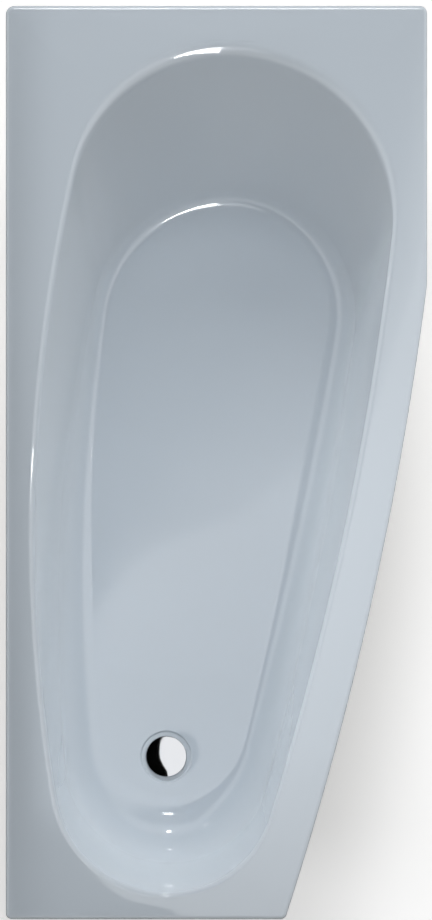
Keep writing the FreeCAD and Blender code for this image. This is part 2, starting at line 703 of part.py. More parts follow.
# Battens: glued under the deck against the inside of the lip
side_start = "batten_width - lip_inner_length"
keep(
    box(
        "head_batten",
        "batten_relief - lip_inner_width",
        "lip_inner_length - batten_width",
        "batten_level",
        "2 * lip_inner_width - 2 * batten_relief",
        "batten_width",
        "batten_height",
    ),
    "head_batten",
)
keep(
    box(
        "foot_batten",
        "batten_relief - lip_inner_width",
        "-lip_inner_length",
        "batten_level",
        "foot_corner_x - lip_wall - 2 * batten_relief + lip_inner_width",
        "batten_width",
        "batten_height",
    ),
    "foot_batten",
)
keep(
    box(
        "long_side_batten",
        "-lip_inner_width",
        side_start,
        "batten_level",
        "batten_width",
        "2 * lip_inner_length - 2 * batten_width",
        "batten_height",
    ),
    "long_side_batten",
)
keep(
    box(
        "short_side_batten",
        "lip_inner_width - batten_width",
        "shoulder_y + batten_relief",
        "batten_level",
        "batten_width",
        "straight_side - lip_wall - batten_width - batten_relief",
        "batten_height",
    ),
    "short_side_batten",
)


def taper_point(radius, y):
    """Point of an arc about the taper's centre at a given place along the tub."""
    centre = Vector(size("taper_centre_x"), size("taper_centre_y"), 0)
    return centre + Vector(math.sqrt(radius ** 2 - (y - centre.y) ** 2), y - centre.y, 0)


def taper_batten_shape():
    """Curved batten between two arcs that follow the tapered side."""
    centre = Vector(size("taper_centre_x"), size("taper_centre_y"), 0)
    outer = size("taper_radius - lip_wall")
    inner = outer - size("batten_width")
    low = size("batten_width + batten_relief - lip_inner_length")
    high = size("shoulder_y - batten_relief")
    corners = [
        taper_point(outer, low),
        taper_point(outer, high),
        taper_point(inner, high),
        taper_point(inner, low),
    ]
    edges = [
        arc_between(corners[0], centre, outer, corners[1]),
        Part.makeLine(corners[1], corners[2]),
        arc_between(corners[2], centre, inner, corners[3]),
        Part.makeLine(corners[3], corners[0]),
    ]
    batten = Part.Face(Part.Wire(edges)).extrude(Vector(0, 0, size("batten_height")))
    batten.translate(Vector(0, 0, size("batten_level")))
    return batten


taper_batten = doc.addObject("Part::Feature", "taper_batten")
taper_batten.Shape = taper_batten_shape()
keep(taper_batten, "taper_batten")

# Rails: steel folded to a channel, open below, screwed up into the board


def rail(end):
    """One cross rail with its holes for the feet and the screws."""
    half = "rail_width / 2"
    inner = "rail_width / 2 - rail_gauge"
    profile = [
        (f"-{half}", "rail_level"),
        (f"-{half}", "board_level"),
        (half, "board_level"),
        (half, "rail_level"),
        (inner, "rail_level"),
        (inner, "rail_underside"),
        (f"-({inner})", "rail_underside"),
        (f"-({inner})", "rail_level"),
    ]
    body = doc.addObject("PartDesign::Body", f"{end}_rail_channel")
    sketch = add_sketch(body, "YZ_Plane", profile)
    fold = body.newObject("PartDesign::Pad", body.Name + "_fold")
    fold.Profile = sketch
    fold.setExpression("Length", bound(f"{end}_taper_foot_x - long_foot_x + 2 * rail_overhang"))
    body.Tip = fold
    place(body, "long_foot_x - rail_overhang", f"{end}_rail_y")
    base = "rail_underside - cut_overrun"
    height = "rail_gauge + 2 * cut_overrun"
    holes = []
    for spot in ("long_foot_x", f"{end}_taper_foot_x"):
        name = f"{end}_rail_hole_{len(holes) + 1}"
        holes.append(cylinder(name, spot, f"{end}_rail_y", base, "stud_radius + fit_gap", height))
    for x, y in screw_places:
        if y.startswith(end):
            name = f"{end}_rail_hole_{len(holes) + 1}"
            holes.append(cylinder(name, x, y, base, "screw_bore", height))
    tool = doc.addObject("Part::MultiFuse", f"{end}_rail_holes")
    tool.Shapes = holes
    drilled = doc.addObject("Part::Cut", f"{end}_rail")
    drilled.Base = body
    drilled.Tool = tool
    return keep(drilled, f"{end}_rail")


rail("head")
rail("foot")

screws = []
for number, (x, y) in enumerate(screw_places, start=1):
    head_level = "rail_underside - screw_head_height"
    head = cylinder(f"screw_{number}_head", x, y, head_level, "screw_head_radius", "screw_head_height")
    shank = cylinder(f"screw_{number}_shank", x, y, "rail_underside", "screw_radius",
                     "rail_gauge + screw_bite")
    screw = doc.addObject("Part::Fuse", f"screw_{number}")
    screw.Base = head
    screw.Tool = shank
    screws.append(screw)
group("rail_screws", screws)

# Feet: a nut fixed in the rail, and a screw with locknut and pad that turns in it
foot_places = {
    "head_long": ("long_foot_x", "head_rail_y"),
    "head_taper": ("head_taper_foot_x", "head_rail_y"),
    "foot_long": ("long_foot_x", "foot_rail_y"),
    "foot_taper": ("foot_taper_foot_x", "foot_rail_y"),
}
rail_nuts = []
for place_name, (x, y) in foot_places.items():
    rail_nuts.append(
        hex_nut(f"rail_nut_{place_name}", x, y, "rail_nut_level", "nut_corner", "stud_bore",
                "rail_nut_height")
    )
    locknut = hex_nut(f"locknut_{place_name}", x, y, "locknut_level", "nut_corner",
                      "locknut_bore", "locknut_height")
    keep(locknut, f"locknut_{place_name}")
    stud_profile = [
        ("0", "pad_sole"),
        ("stud_radius", "pad_sole"),
        ("stud_radius", "pad_height"),
        ("stud_collar_radius", "pad_height"),
        ("stud_collar_radius", "pad_height + stud_collar_height"),
        ("stud_radius", "pad_height + stud_collar_height"),
        ("stud_radius", "stud_top - stud_chamfer"),
        ("stud_radius - stud_chamfer", "stud_top"),
        ("0", "stud_top"),
    ]
    keep(turned(f"foot_stud_{place_name}", stud_profile, x, y), f"foot_stud_{place_name}")
    pad_profile = [
        ("0", "0"),
        ("pad_radius", "0"),
        ("pad_radius", "pad_rim"),
        ("stud_collar_radius", "pad_height"),
        ("stud_bore", "pad_height"),
        ("stud_bore", "pad_sole"),
        ("0", "pad_sole"),
    ]
    keep(turned(f"foot_pad_{place_name}", pad_profile, x, y), f"foot_pad_{place_name}")
group("rail_nuts", rail_nuts)

# Waste: a flange with a threaded tail through the floor, sealed and clamped from below
flange_profile = [
    ("bore_radius", "floor_level - dish_depth"),
    ("dish_radius", "floor_level"),
    ("flange_radius", "floor_level"),
    ("flange_radius", "flange_level"),
    ("tail_radius", "flange_level"),
    ("tail_radius", "tail_end"),
    ("ledge_radius", "tail_end"),
    ("ledge_radius", "hub_bottom"),
    ("bore_radius", "hub_bottom"),
]
keep(turned("waste_flange", flange_profile), "waste_flange")
keep(ring("flange_seal", "washer_bore", "flange_radius", "recess_level", "flange_level"), "flange_seal")
keep(ring("tail_washer", "washer_bore", "tail_washer_radius", "backnut_top", "boss_level"), "tail_washer")
backnut = hex_nut("waste_backnut", "waste_x", "waste_y", "backnut_top - backnut_height",
                  "backnut_corner", "tail_radius + thread_gap", "backnut_height")
keep(backnut, "waste_backnut")

# Plug: a domed cap on a stem that slides in the cartridge and closes on the flange's seat
cap_profile = [
    ("0", "cap_level"),
    ("cap_radius", "cap_level"),
    ("cap_radius", "cap_level + cap_edge"),
    ("0", "cap_level + cap_height"),
]
keep(turned("plug_cap", cap_profile, dome=2), "plug_cap")
stem_profile = [
    ("0", "cap_level - stem_length"),
    ("stem_radius", "cap_level - stem_length"),
    ("stem_radius", "seal_level"),
    ("stem_head_radius", "seal_level"),
    ("stem_head_radius", "cap_level"),
    ("0", "cap_level"),
]
keep(turned("plug_stem", stem_profile), "plug_stem")
seal_profile = [
    ("stem_head_radius", "seal_level"),
    ("bore_radius", "seal_level"),
    ("seal_radius", "seal_edge_level"),
    ("seal_radius", "cap_level"),
    ("stem_head_radius", "cap_level"),
]
keep(turned("plug_seal", seal_profile), "plug_seal")


def cartridge_shape():
    """Guide hub held in an outer ring by three spokes, with room for the water between."""
    centre = Vector(size("waste_x"), size("waste_y"), size("hub_bottom"))
    hub_height = size("hub_height")
    ring_height = size("ring_height")
    hub = Part.makeCylinder(size("hub_radius"), hub_height, centre)
    outer = Part.makeCylinder(size("ring_radius"), ring_height, centre)
    hollow = Part.makeCylinder(size("ring_radius - ring_wall"), ring_height, centre)
    cartridge = hub.fuse(outer.cut(hollow))
    reach = size("ring_radius - ring_wall / 2")
    width = size("spoke_width")
    spoke_count = round(size("spoke_count"))
    for number in range(spoke_count):
        spoke = Part.makeBox(reach, width, ring_height, centre - Vector(0, width / 2, 0))
        spoke.rotate(centre, Vector(0, 0, 1), number * 360 / spoke_count)
        cartridge = cartridge.fuse(spoke)
    bore = Part.makeCylinder(size("stem_radius + thread_gap"), hub_height, centre)
    return cartridge.cut(bore).removeSplitter()


plug_cartridge = doc.addObject("Part::Feature", "plug_cartridge")
plug_cartridge.Shape = cartridge_shape()
keep(plug_cartridge, "plug_cartridge")


def spring_shape():
    """Open coil between the top of the hub and the head of the stem."""
    wire_radius = size("spring_wire_radius")
    coil_radius = size("spring_radius")
    lowest = size("hub_top") + wire_radius
    rise = size("seal_level") - wire_radius - lowest
    pitch = rise / size("spring_turns")
    path = Part.Wire(Part.makeHelix(pitch, rise, coil_radius).Edges)
    section = Part.Wire(Part.makeCircle(wire_radius, Vector(coil_radius, 0, 0), Vector(0, 1, 0)))
    coil = path.makePipeShell([section], True, True)
    coil.translate(Vector(size("waste_x"), size("waste_y"), lowest))
    return coil


plug_spring = doc.addObject("Part::Feature", "plug_spring")
plug_spring.Shape = spring_shape()
keep(plug_spring, "plug_spring")

# Trap: hangs from the tail by its nut, can swing on the washer and leads to the waste pipe
trap_nut_profile = [
    ("tail_radius + thread_gap", "tail_end"),
    ("tail_radius + thread_gap", "tail_end + trap_nut_grip"),
    ("trap_nut_radius", "tail_end + trap_nut_grip"),
    ("trap_nut_radius", "trap_nut_ledge - trap_nut_lip"),
    ("inlet_radius + fit_gap", "trap_nut_ledge - trap_nut_lip"),
    ("inlet_radius + fit_gap", "trap_nut_ledge"),
    ("trap_nut_cavity", "trap_nut_ledge"),
    ("trap_nut_cavity", "tail_end"),
]
keep(turned("trap_nut", trap_nut_profile), "trap_nut")
keep(ring("trap_washer", "inlet_bore", "tail_radius", "collar_top", "tail_end"), "trap_washer")
trap_profile = [
    ("inlet_bore", "collar_top"),
    ("collar_radius", "collar_top"),
    ("collar_radius", "collar_bottom"),
    ("inlet_radius", "collar_bottom"),
    ("inlet_radius", "bowl_top"),
    ("bowl_radius", "bowl_top"),
    ("bowl_radius", "bowl_bottom"),
    ("bowl_bore", "bowl_bottom"),
    ("bowl_bore", "bowl_top - trap_wall"),
    ("inlet_radius", "bowl_top - trap_wall"),
    ("inlet_radius", "dip_end"),
    ("inlet_bore", "dip_end"),
]
trap_body = turned("trap_body", trap_profile)
circle_pad(trap_body, "socket", "outlet_level", "socket_start", "socket_radius",
           "socket_end - socket_start", "PartDesign::Pad")
circle_pad(trap_body, "outlet_bore_cut", "outlet_level", "socket_end", "outlet_bore",
           "socket_end - inlet_radius - trap_wall", "PartDesign::Pocket")
circle_pad(trap_body, "socket_bore_cut", "outlet_level", "socket_end", "socket_bore",
           "socket_depth", "PartDesign::Pocket")
keep(trap_body, "trap_body")
keep(ring("cleanout_seal", "bowl_bore", "bowl_radius", "cleanout_floor_top", "bowl_bottom"),
     "cleanout_seal")
cleanout_profile = [
    ("0", "cleanout_bottom"),
    ("cleanout_radius", "cleanout_bottom"),
    ("cleanout_radius", "cleanout_bottom + cleanout_cap_height"),
    ("cleanout_bore", "cleanout_bottom + cleanout_cap_height"),
    ("cleanout_bore", "cleanout_floor_top"),
    ("0", "cleanout_floor_top"),
]
keep(turned("cleanout_cap", cleanout_profile), "cleanout_cap")


def lying_ring(label, start, length, outer, inner):
    """A ring or tube along the outlet, which leaves the trap towards the foot end."""
    body = doc.addObject("PartDesign::Body", label)
    circle_pad(body, label + "_blank", "outlet_level", start, outer, length, "PartDesign::Pad")
    circle_pad(body, label + "_bore", "outlet_level", f"{start} + {length}", inner, length,
               "PartDesign::Pocket")
    place(body, "waste_x", "waste_y")
    return body


keep(lying_ring("outlet_seal", "socket_end", "outlet_seal_length", "socket_radius",
                "pipe_radius + thread_gap"), "outlet_seal")
outlet_nut = lying_ring("outlet_nut", "outlet_nut_start", "outlet_nut_length", "outlet_nut_radius",
                        "socket_bore")
circle_pad(outlet_nut, "outlet_nut_cavity", "outlet_level", "seal_end", "outlet_nut_bore",
           "seal_end - outlet_nut_start", "PartDesign::Pocket")
keep(outlet_nut, "outlet_nut")
outlet_pipe = doc.addObject("PartDesign::Body", "outlet_pipe")
circle_pad(outlet_pipe, "pipe_tube", "outlet_level", "pipe_start", "pipe_radius", "pipe_length",
           "PartDesign::Pad")
circle_pad(outlet_pipe, "pipe_socket", "outlet_level", "pipe_socket_start - pipe_wall",
           "pipe_socket_radius", "pipe_socket_depth + pipe_wall", "PartDesign::Pad")
circle_pad(outlet_pipe, "pipe_bore", "outlet_level", "pipe_end", "outlet_bore", "pipe_length",
           "PartDesign::Pocket")
circle_pad(outlet_pipe, "pipe_socket_bore", "outlet_level", "pipe_end", "socket_bore",
           "pipe_socket_depth", "PartDesign::Pocket")
place(outlet_pipe, "waste_x", "waste_y")
keep(outlet_pipe, "outlet_pipe")

# Check every object, then write one file for each sub-part
doc.recompute()
for item in doc.Objects:
    if "Invalid" in item.State or "Error" in item.State:
        raise RuntimeError(f"{item.Label}: {item.State}")
for node in nodes:
    if node.Shape.isNull() or not node.Shape.isValid():
        raise RuntimeError(f"{node.Label}: no valid shape")
for node in nodes:
    node.Shape.exportStep(f"parts/{node.Label}.step")
    bounds = node.Shape.BoundBox
    print(node.Label, len(node.Shape.Solids), round(node.Shape.Volume), bounds)
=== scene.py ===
import math

import bmesh
import bpy
from mathutils import Matrix, Vector


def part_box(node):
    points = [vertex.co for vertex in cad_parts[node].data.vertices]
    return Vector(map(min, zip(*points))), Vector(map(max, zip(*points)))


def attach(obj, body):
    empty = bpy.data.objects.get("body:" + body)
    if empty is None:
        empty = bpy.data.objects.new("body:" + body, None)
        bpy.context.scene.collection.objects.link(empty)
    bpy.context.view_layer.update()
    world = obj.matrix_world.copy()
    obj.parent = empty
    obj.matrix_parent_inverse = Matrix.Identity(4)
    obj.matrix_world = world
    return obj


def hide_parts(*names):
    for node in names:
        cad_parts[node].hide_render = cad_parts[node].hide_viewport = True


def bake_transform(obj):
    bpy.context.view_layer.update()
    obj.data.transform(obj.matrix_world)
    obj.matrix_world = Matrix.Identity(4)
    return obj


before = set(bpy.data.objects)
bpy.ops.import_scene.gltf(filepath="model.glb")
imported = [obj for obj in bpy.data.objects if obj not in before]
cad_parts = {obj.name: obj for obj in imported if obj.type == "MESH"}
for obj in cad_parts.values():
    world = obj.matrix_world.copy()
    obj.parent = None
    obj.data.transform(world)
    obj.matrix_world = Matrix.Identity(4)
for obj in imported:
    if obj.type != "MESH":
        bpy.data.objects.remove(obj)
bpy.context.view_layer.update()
collection = bpy.context.scene.collection

# Tub shell
# The real shell is one sheet of cast acrylic, drawn down warm into an egg-shaped well with a flat deck,
# trimmed at its turned-down lip, and stiffened underneath with sprayed glass fibre and resin.

shell_low, shell_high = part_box("tub_shell")
rim = shell_high.z
half_width = shell_high.x
half_length = shell_high.y
wall = 0.006
lip_depth = 0.036
lip_wall = 0.005
lip_round = 0.0065
foot_width = 0.459
straight_side = 0.459
foot_corner_x = foot_width - half_width
shoulder_y = half_length - straight_side
taper_bulge = 0.025
corner_radii = {"head_left": 0.014, "foot_left": 0.009, "foot_right": 0.010, "shoulder": 0.200,
                "head_right": 0.012}
well_depth = 0.400
floor_level = rim - well_depth
well_sizes = {
    "Crown x": 0.363 - half_width,
    "Crown y": half_length - 0.055,
    "Toe x": 0.266 - half_width,
    "Toe y": 0.034 - half_length,
    "Depth": well_depth,
    "Head left radius": 0.262,
    "Head right radius": 0.283,
    "Foot left radius": 0.194,
    "Foot right radius": 0.180,
    "Deck left radius": 2.640,
    "Deck right radius": 4.870,
    "Floor left radius": 3.260,
    "Floor right radius": 15.0,
    "Head left run": 0.052,
    "Head right run": 0.104,
    "Foot left run": 0.072,
    "Foot right run": 0.047,
    "Crown run": 0.254,
    "Crown round": 0.034,
    "Crown hollow": 0.036,
    "Head run": 0.0896,
    "Head round": 0.009,
    "Head hollow": 0.040,
    "Foot run": 0.0896,
    "Foot round": 0.010,
    "Foot hollow": 0.075,
    "Toe run": 0.136,
    "Toe round": 0.010,
    "Toe hollow": 0.110,
}
waste = Vector((0.258 - half_width, 0.235 - half_length, 0))
recess_radius = 0.044
recess_depth = 0.004
recess_round = 0.0025
waste_hole_radius = 0.026
boss_radius = 0.052
boss_level = shell_low.z
weld_reach = 0.00002


class Lead:
    """An output of a node tree, so that a sum on outputs reads like a sum on numbers."""

    def __init__(self, tree, socket=None):
        self.tree = tree
        self.socket = socket

    def node(self, kind, settings=None, inputs=None, output=0):
        """Adds a node: its settings first, then the values or leads of its sockets."""
        made = self.tree.nodes.new(kind)
        for name, value in (settings or {}).items():
            if name == "stops":
                self.lay_stops(made.color_ramp, value)
            else:
                setattr(made, name, value)
        for name, value in (inputs or {}).items():
            self.feed(made.inputs[name], value)
        return None if output is None else Lead(self.tree, made.outputs[output])

    def feed(self, socket, value):
        """Links a lead to a socket, or sets a plain value on it."""
        if isinstance(value, Lead):
            self.tree.links.new(value.socket, socket)
        else:
            socket.default_value = value

    @staticmethod
    def lay_stops(ramp, stops):
        """Sets a ramp's stops, each a place and a colour."""
        while len(ramp.elements) < len(stops):
            ramp.elements.new(1)
        for element, (place, colour) in zip(ramp.elements, stops):
            element.position = place
            element.color = (*colour, 1)

    def maths(self, operation, other=0, first=None):
        """One Math node on this lead and another value."""
        start = self if first is None else first
        second = other if first is None else self
        return self.node("ShaderNodeMath", {"operation": operation}, {0: start, 1: second})

    def clamped(self):
        """This lead held between 0 and 1."""
        return self.maths("MINIMUM", 1).maths("MAXIMUM", 0)

    def __add__(self, other):
        return self.maths("ADD", other)

    __radd__ = __add__

    def __sub__(self, other):
        return self.maths("SUBTRACT", other)

    def __rsub__(self, other):
        return self.maths("SUBTRACT", first=other)

    def __mul__(self, other):
        return self.maths("MULTIPLY", other)

    __rmul__ = __mul__

    def __truediv__(self, other):
        return self.maths("DIVIDE", other)

    def __rtruediv__(self, other):
        return self.maths("DIVIDE", first=other)

    def __lt__(self, other):
        return self.maths("LESS_THAN", other)

    def __gt__(self, other):
        return self.maths("GREATER_THAN", other)

    def mix(self, colour, other):
        """Colour where this mask is 0, the other where it is 1."""
        return self.node("ShaderNodeMix", {"data_type": "RGBA"}, {0: self, 6: colour, 7: other}, output=2)


def surface(name, fixed):
    """A material with its one shader, its fixed sockets set, and a lead from the object's coordinates."""
    material = bpy.data.materials.new(name)
    material.use_nodes = True
    shader = material.node_tree.nodes["Principled BSDF"]
    for socket, value in fixed.items():
        shader.inputs[socket].default_value = value
    here = Lead(material.node_tree).node("ShaderNodeTexCoord", output="Object")
    return material, shader.inputs, here


def noise(here, scale, detail, output=0):
    """Soft noise over a surface: its value, or its colour as output 1."""
    inputs = {"Vector": here, "Scale": scale, "Detail": detail}
    return here.node("ShaderNodeTexNoise", inputs=inputs, output=output)


def bumped(strength, depth, height):
    """A bump in the surface's own grain, from its height."""
    return height.node("ShaderNodeBump", inputs={"Strength": strength, "Distance": depth, "Height": height})


def node_tree(name, sizes, takes_shape=False, takes_piece=False):
    """A tree of Geometry Nodes with named inputs, and a lead from each."""
    tree = bpy.data.node_groups.new(name, "GeometryNodeTree")
    tree.interface.new_socket("Shape", in_out="OUTPUT", socket_type="NodeSocketGeometry")
    if takes_shape:
        tree.interface.new_socket("Blank", in_out="INPUT", socket_type="NodeSocketGeometry")
    for size in sizes:
        tree.interface.new_socket(size, in_out="INPUT", socket_type="NodeSocketFloat")
    if takes_piece:
        tree.interface.new_socket("Piece", in_out="INPUT", socket_type="NodeSocketObject")
    tree.interface.new_socket("Material", in_out="INPUT", socket_type="NodeSocketMaterial")
    entry = tree.nodes.new("NodeGroupInput")
    return tree, {socket.name: Lead(tree, socket) for socket in entry.outputs if socket.name}


def close_tree(tree, shape, material):
    """Ends a tree: real meshes in place of instances, with their material."""
    real = shape.node("GeometryNodeRealizeInstances", inputs={0: shape})
    coated = real.node("GeometryNodeSetMaterial", inputs={"Geometry": real, "Material": material})
    tree.links.new(coated.socket, tree.nodes.new("NodeGroupOutput").inputs[0])


def shaped(tree, sizes, material, blank=None):
    """Runs a tree once, on a blank mesh if it takes one, and gives what it makes as a plain mesh."""
    holder = bpy.data.objects.new("holder", blank or bpy.data.meshes.new("blank"))
    collection.objects.link(holder)
    modifier = holder.modifiers.new("shape", "NODES")
    modifier.node_group = tree
    values = {**sizes, "Material": material}
    for item in tree.interface.items_tree:
        if item.in_out == "INPUT" and item.name in values:
            modifier[item.identifier] = values[item.name]
    graph = bpy.context.evaluated_depsgraph_get()
    mesh = bpy.data.meshes.new_from_object(holder.evaluated_get(graph))
    bpy.data.objects.remove(holder)
    return mesh


def piece(name, mesh, body, slot, *replaced, sharp=40):
    """Puts a finished mesh in the scene in place of its CAD nodes."""
    mesh.name = name
    mesh.shade_smooth()
    mesh.set_sharp_from_angle(angle=math.radians(sharp))
    made = bpy.data.objects.new(name, mesh)
    collection.objects.link(made)
    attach(made, body)
    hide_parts(*replaced)
    return made


def where(test, yes, no):
    """One value where a test is 1 and the other where it is 0."""
    return no + (yes - no) * test


def run_share(depth, size, part):
    """Share of its run that a wall has leaned in at a depth: round, straight slope, hollow."""
    run, edge, hollow = (size[f"{part} {word}"] for word in ("run", "round", "hollow"))
    fall = size["Depth"] - edge - hollow
    slant = (run * run + fall * fall).maths("SQRT")
    tilt = fall.maths("ARCTAN2", run) + ((edge + hollow) / slant).maths("ARCSINE")
    turned_in = 1 - tilt.maths("COSINE")
    left = size["Depth"] - depth
    on_edge = (depth * (2 * edge - depth)).maths("SQRT")
    on_slope = edge * tilt.maths("SINE") + (depth - edge * turned_in) / tilt.maths("TANGENT")
    on_hollow = run - (left * (2 * hollow - left)).maths("SQRT")
    lower = where(left < hollow * turned_in, on_hollow, on_slope)
    return where(depth < edge * turned_in, on_edge, lower) / run


def half_outline(side, along, size, shares):
    """Point of the outline's left (-1) or right (1) half, from the crown, 0, to the toe, 1."""
    word = "left" if side < 0 else "right"
    crown, head, foot, toe = shares
    grow = size["Grow"]
    head_radius = size[f"Head {word} radius"] - head * size[f"Head {word} run"] + grow
    foot_radius = size[f"Foot {word} radius"] - foot * size[f"Foot {word} run"] + grow
    between = (head + foot) / 2
    bend = (1 - between) / size[f"Deck {word} radius"] + between / size[f"Floor {word} radius"]
    flank_radius = 1 / bend + grow
    head_x = size["Crown x"]
    head_y = size["Crown y"] - crown * size["Crown run"] + grow - head_radius
    foot_x = size["Toe x"]
    foot_y = size["Toe y"] + toe * size["Toe run"] - grow + foot_radius
    head_reach = flank_radius - head_radius
    foot_reach = flank_radius - foot_radius
    span_x = foot_x - head_x
    span_y = foot_y - head_y
    span = (span_x * span_x + span_y * span_y).maths("SQRT")
    share = (head_reach * head_reach - foot_reach * foot_reach + span * span) / (2 * span)
    off = (head_reach * head_reach - share * share).maths("SQRT") * side
    flank_x = head_x + (span_x * share + span_y * off) / span
    flank_y = head_y + (span_y * share - span_x * off) / span
    upper = ((head_y - flank_y) / head_reach).maths("ARCSINE")
    lower = ((foot_y - flank_y) / foot_reach).maths("ARCSINE")
    head_part = 0.36
    foot_part = 0.30
    on_head = along < head_part
    on_foot = along > 1 - foot_part
    head_turn = math.pi / 2 + (upper - math.pi / 2) * along / head_part
    flank_turn = upper + (lower - upper) * (along - head_part) / (1 - head_part - foot_part)
    foot_turn = lower + (-math.pi / 2 - lower) * (along - (1 - foot_part)) / foot_part
    turn = where(on_head, head_turn, where(on_foot, foot_turn, flank_turn))
    radius = where(on_head, head_radius, where(on_foot, foot_radius, flank_radius))
    centre_x = where(on_head, head_x, where(on_foot, foot_x, flank_x))
    centre_y = where(on_head, head_y, where(on_foot, foot_y, flank_y))
    return centre_x + radius * turn.maths("COSINE") * side, centre_y + radius * turn.maths("SINE")


points_round = 320
levels = 116
well_tree, size = node_tree("egg_well", [*well_sizes, "Top", "Grow", "Lumps"])
grid = size["Depth"].node(
    "GeometryNodeMeshGrid",
    inputs={"Size X": 1.0, "Size Y": 1.0, "Vertices X": points_round + 1, "Vertices Y": levels},
)
spot = grid.node("ShaderNodeSeparateXYZ", inputs={0: grid.node("GeometryNodeInputPosition")})
around = spot + 0.5
down = Lead(well_tree, spot.socket.node.outputs[1]) + 0.5
depth = size["Depth"] * (1 - (down * math.pi).maths("COSINE")) / 2
shares = [run_share(depth, size, part) for part in ("Crown", "Head", "Foot", "Toe")]
along = 1 - (2 * around - 1).maths("ABSOLUTE")
left_x, left_y = half_outline(-1, along, size, shares)
right_x, right_y = half_outline(1, along, size, shares)
on_left = around < 0.5
place = grid.node(
    "ShaderNodeCombineXYZ",
    inputs={0: where(on_left, left_x, right_x), 1: where(on_left, left_y, right_y), 2: size["Top"] - depth},
)
skin = grid.node("GeometryNodeSetPosition", inputs={"Geometry": grid, "Position": place})
skin = skin.node("GeometryNodeMergeByDistance", inputs={"Geometry": skin, "Distance": weld_reach})
coarse = skin.node("ShaderNodeTexNoise", inputs={"Scale": 55.0, "Detail": 3.0})
fine = skin.node("ShaderNodeTexNoise", inputs={"Scale": 160.0, "Detail": 2.0})
level = skin.node("ShaderNodeSeparateXYZ", inputs={0: skin.node("GeometryNodeInputPosition")}, output=2)
sunk = (size["Top"] - level) / size["Depth"]
rise = (coarse - 0.5 + (fine - 0.5) * 0.4) * size["Lumps"] * 4 * sunk * (1 - sunk)
push = skin.node(
    "ShaderNodeVectorMath",
    {"operation": "SCALE"},
    {0: skin.node("GeometryNodeInputNormal"), "Scale": rise},
)
skin = skin.node("GeometryNodeSetPosition", inputs={"Geometry": skin, "Offset": push})
close_tree(well_tree, skin, size["Material"])


def rounded(corners, radii, steps=6):
    """Closed outline through corners, each one rounded by its radius."""
    points = []
    count = len(corners)
    for index, (corner, radius) in enumerate(zip(corners, radii)):
        back = (corners[index - 1] - corner).normalized()
        ahead = (corners[(index + 1) % count] - corner).normalized()
        half_angle = back.angle(ahead) / 2
        if radius <= 0 or half_angle > math.radians(89.5):
            points.append(corner.copy())
            continue
        middle = corner + (back + ahead).normalized() * (radius / math.sin(half_angle))
        first = corner + back * (radius / math.tan(half_angle)) - middle
        last = corner + ahead * (radius / math.tan(half_angle)) - middle
        sweep = first.angle_signed(last)
        for step in range(steps + 1):
            turn = Matrix.Rotation(-sweep * step / steps, 2)
            points.append(middle + turn @ first)
    return points


def deck_outline(inset, taper_steps=28):
    """Outline of the deck, drawn in from its edge by an inset."""
    low = Vector((foot_corner_x, -half_length))
    high = Vector((half_width, shoulder_y))
    chord = high - low
    radius = chord.length ** 2 / (8 * taper_bulge) + taper_bulge / 2
    inward = Vector((-chord.y, chord.x)).normalized()
    centre = (low + high) / 2 + inward * (radius - taper_bulge)
    reach = radius - inset
    side_x = half_width - inset
    end_y = half_length - inset
    start = math.asin((-end_y - centre.y) / reach)
    finish = -math.acos((side_x - centre.x) / reach)
    taper = []
    for step in range(taper_steps + 1):
        turn = start + (finish - start) * step / taper_steps
        taper.append(centre + Vector((math.cos(turn), math.sin(turn))) * reach)
    corners = [Vector((-side_x, end_y)), Vector((-side_x, -end_y)), *taper, Vector((side_x, end_y))]
    radii = [0.0] * len(corners)
    radii[0] = corner_radii["head_left"] - inset
    radii[1] = corner_radii["foot_left"] - inset
    radii[2] = corner_radii["foot_right"] - inset
    radii[-2] = corner_radii["shoulder"] - inset
    radii[-1] = corner_radii["head_right"] - inset
    return rounded(corners, radii)


def ring_of(bm, outline, level):
    """A ring of new vertices along an outline at a level."""
    return [bm.verts.new((point.x, point.y, level)) for point in outline]


def circle(radius, centre, count=96):
    """Points of a circle, the same way round as the deck's outline."""
    turns = [2 * math.pi * step / count for step in range(count)]
    return [Vector((centre.x + radius * math.cos(t), centre.y + radius * math.sin(t))) for t in turns]


def bridge(bm, upper, lower, material):
    """Quads between two rings of the same number of vertices."""
    count = len(upper)
    for index in range(count):
        after = (index + 1) % count
        face = bm.faces.new((upper[index], lower[index], lower[after], upper[after]))
        face.material_index = material


def open_ring(bm, level):
    """Edges of the rim of an open surface that lies at a level."""
    near = 0.00001
    return [
        edge for edge in bm.edges
        if edge.is_boundary and all(abs(vert.co.z - level) < near for vert in edge.verts)
    ]


def ring_edges(bm, ring):
    """Edges that join a ring's vertices."""
    count = len(ring)
    pairs = ((ring[index], ring[(index + 1) % count]) for index in range(count))
    return [bm.edges.get(pair) or bm.edges.new(pair) for pair in pairs]


def fill_flat(bm, edges, up, material):
    """Fills the flat between an outer and an inner ring."""
    made = bmesh.ops.triangle_fill(bm, edges=edges, normal=(0, 0, up), use_beauty=True)
    for face in made["geom"]:
        if isinstance(face, bmesh.types.BMFace):
            face.material_index = material
            face.normal_update()
            if face.normal.z * up < 0:
                face.normal_flip()


# Cast acrylic: pale blue-grey all through, polished, with the faint waviness of a drawn sheet
acrylic_colour = (0.612, 0.668, 0.720)
acrylic, sockets, here = surface(
    "acrylic", {"IOR": 1.49, "Specular IOR Level": 0.8, "Diffuse Roughness": 1.0}
)
cloud = noise(here, 5.0, 3.0)
haze = noise(here, 70.0, 4.0)
here.feed(sockets["Base Color"], cloud.mix((*(0.975 * c for c in acrylic_colour), 1), (*acrylic_colour, 1)))
here.feed(sockets["Roughness"], 0.045 + haze * 0.03)
swell = noise(here, 14.0, 1.0)
here.feed(sockets["Normal"], bumped(0.12, 0.0006, swell))

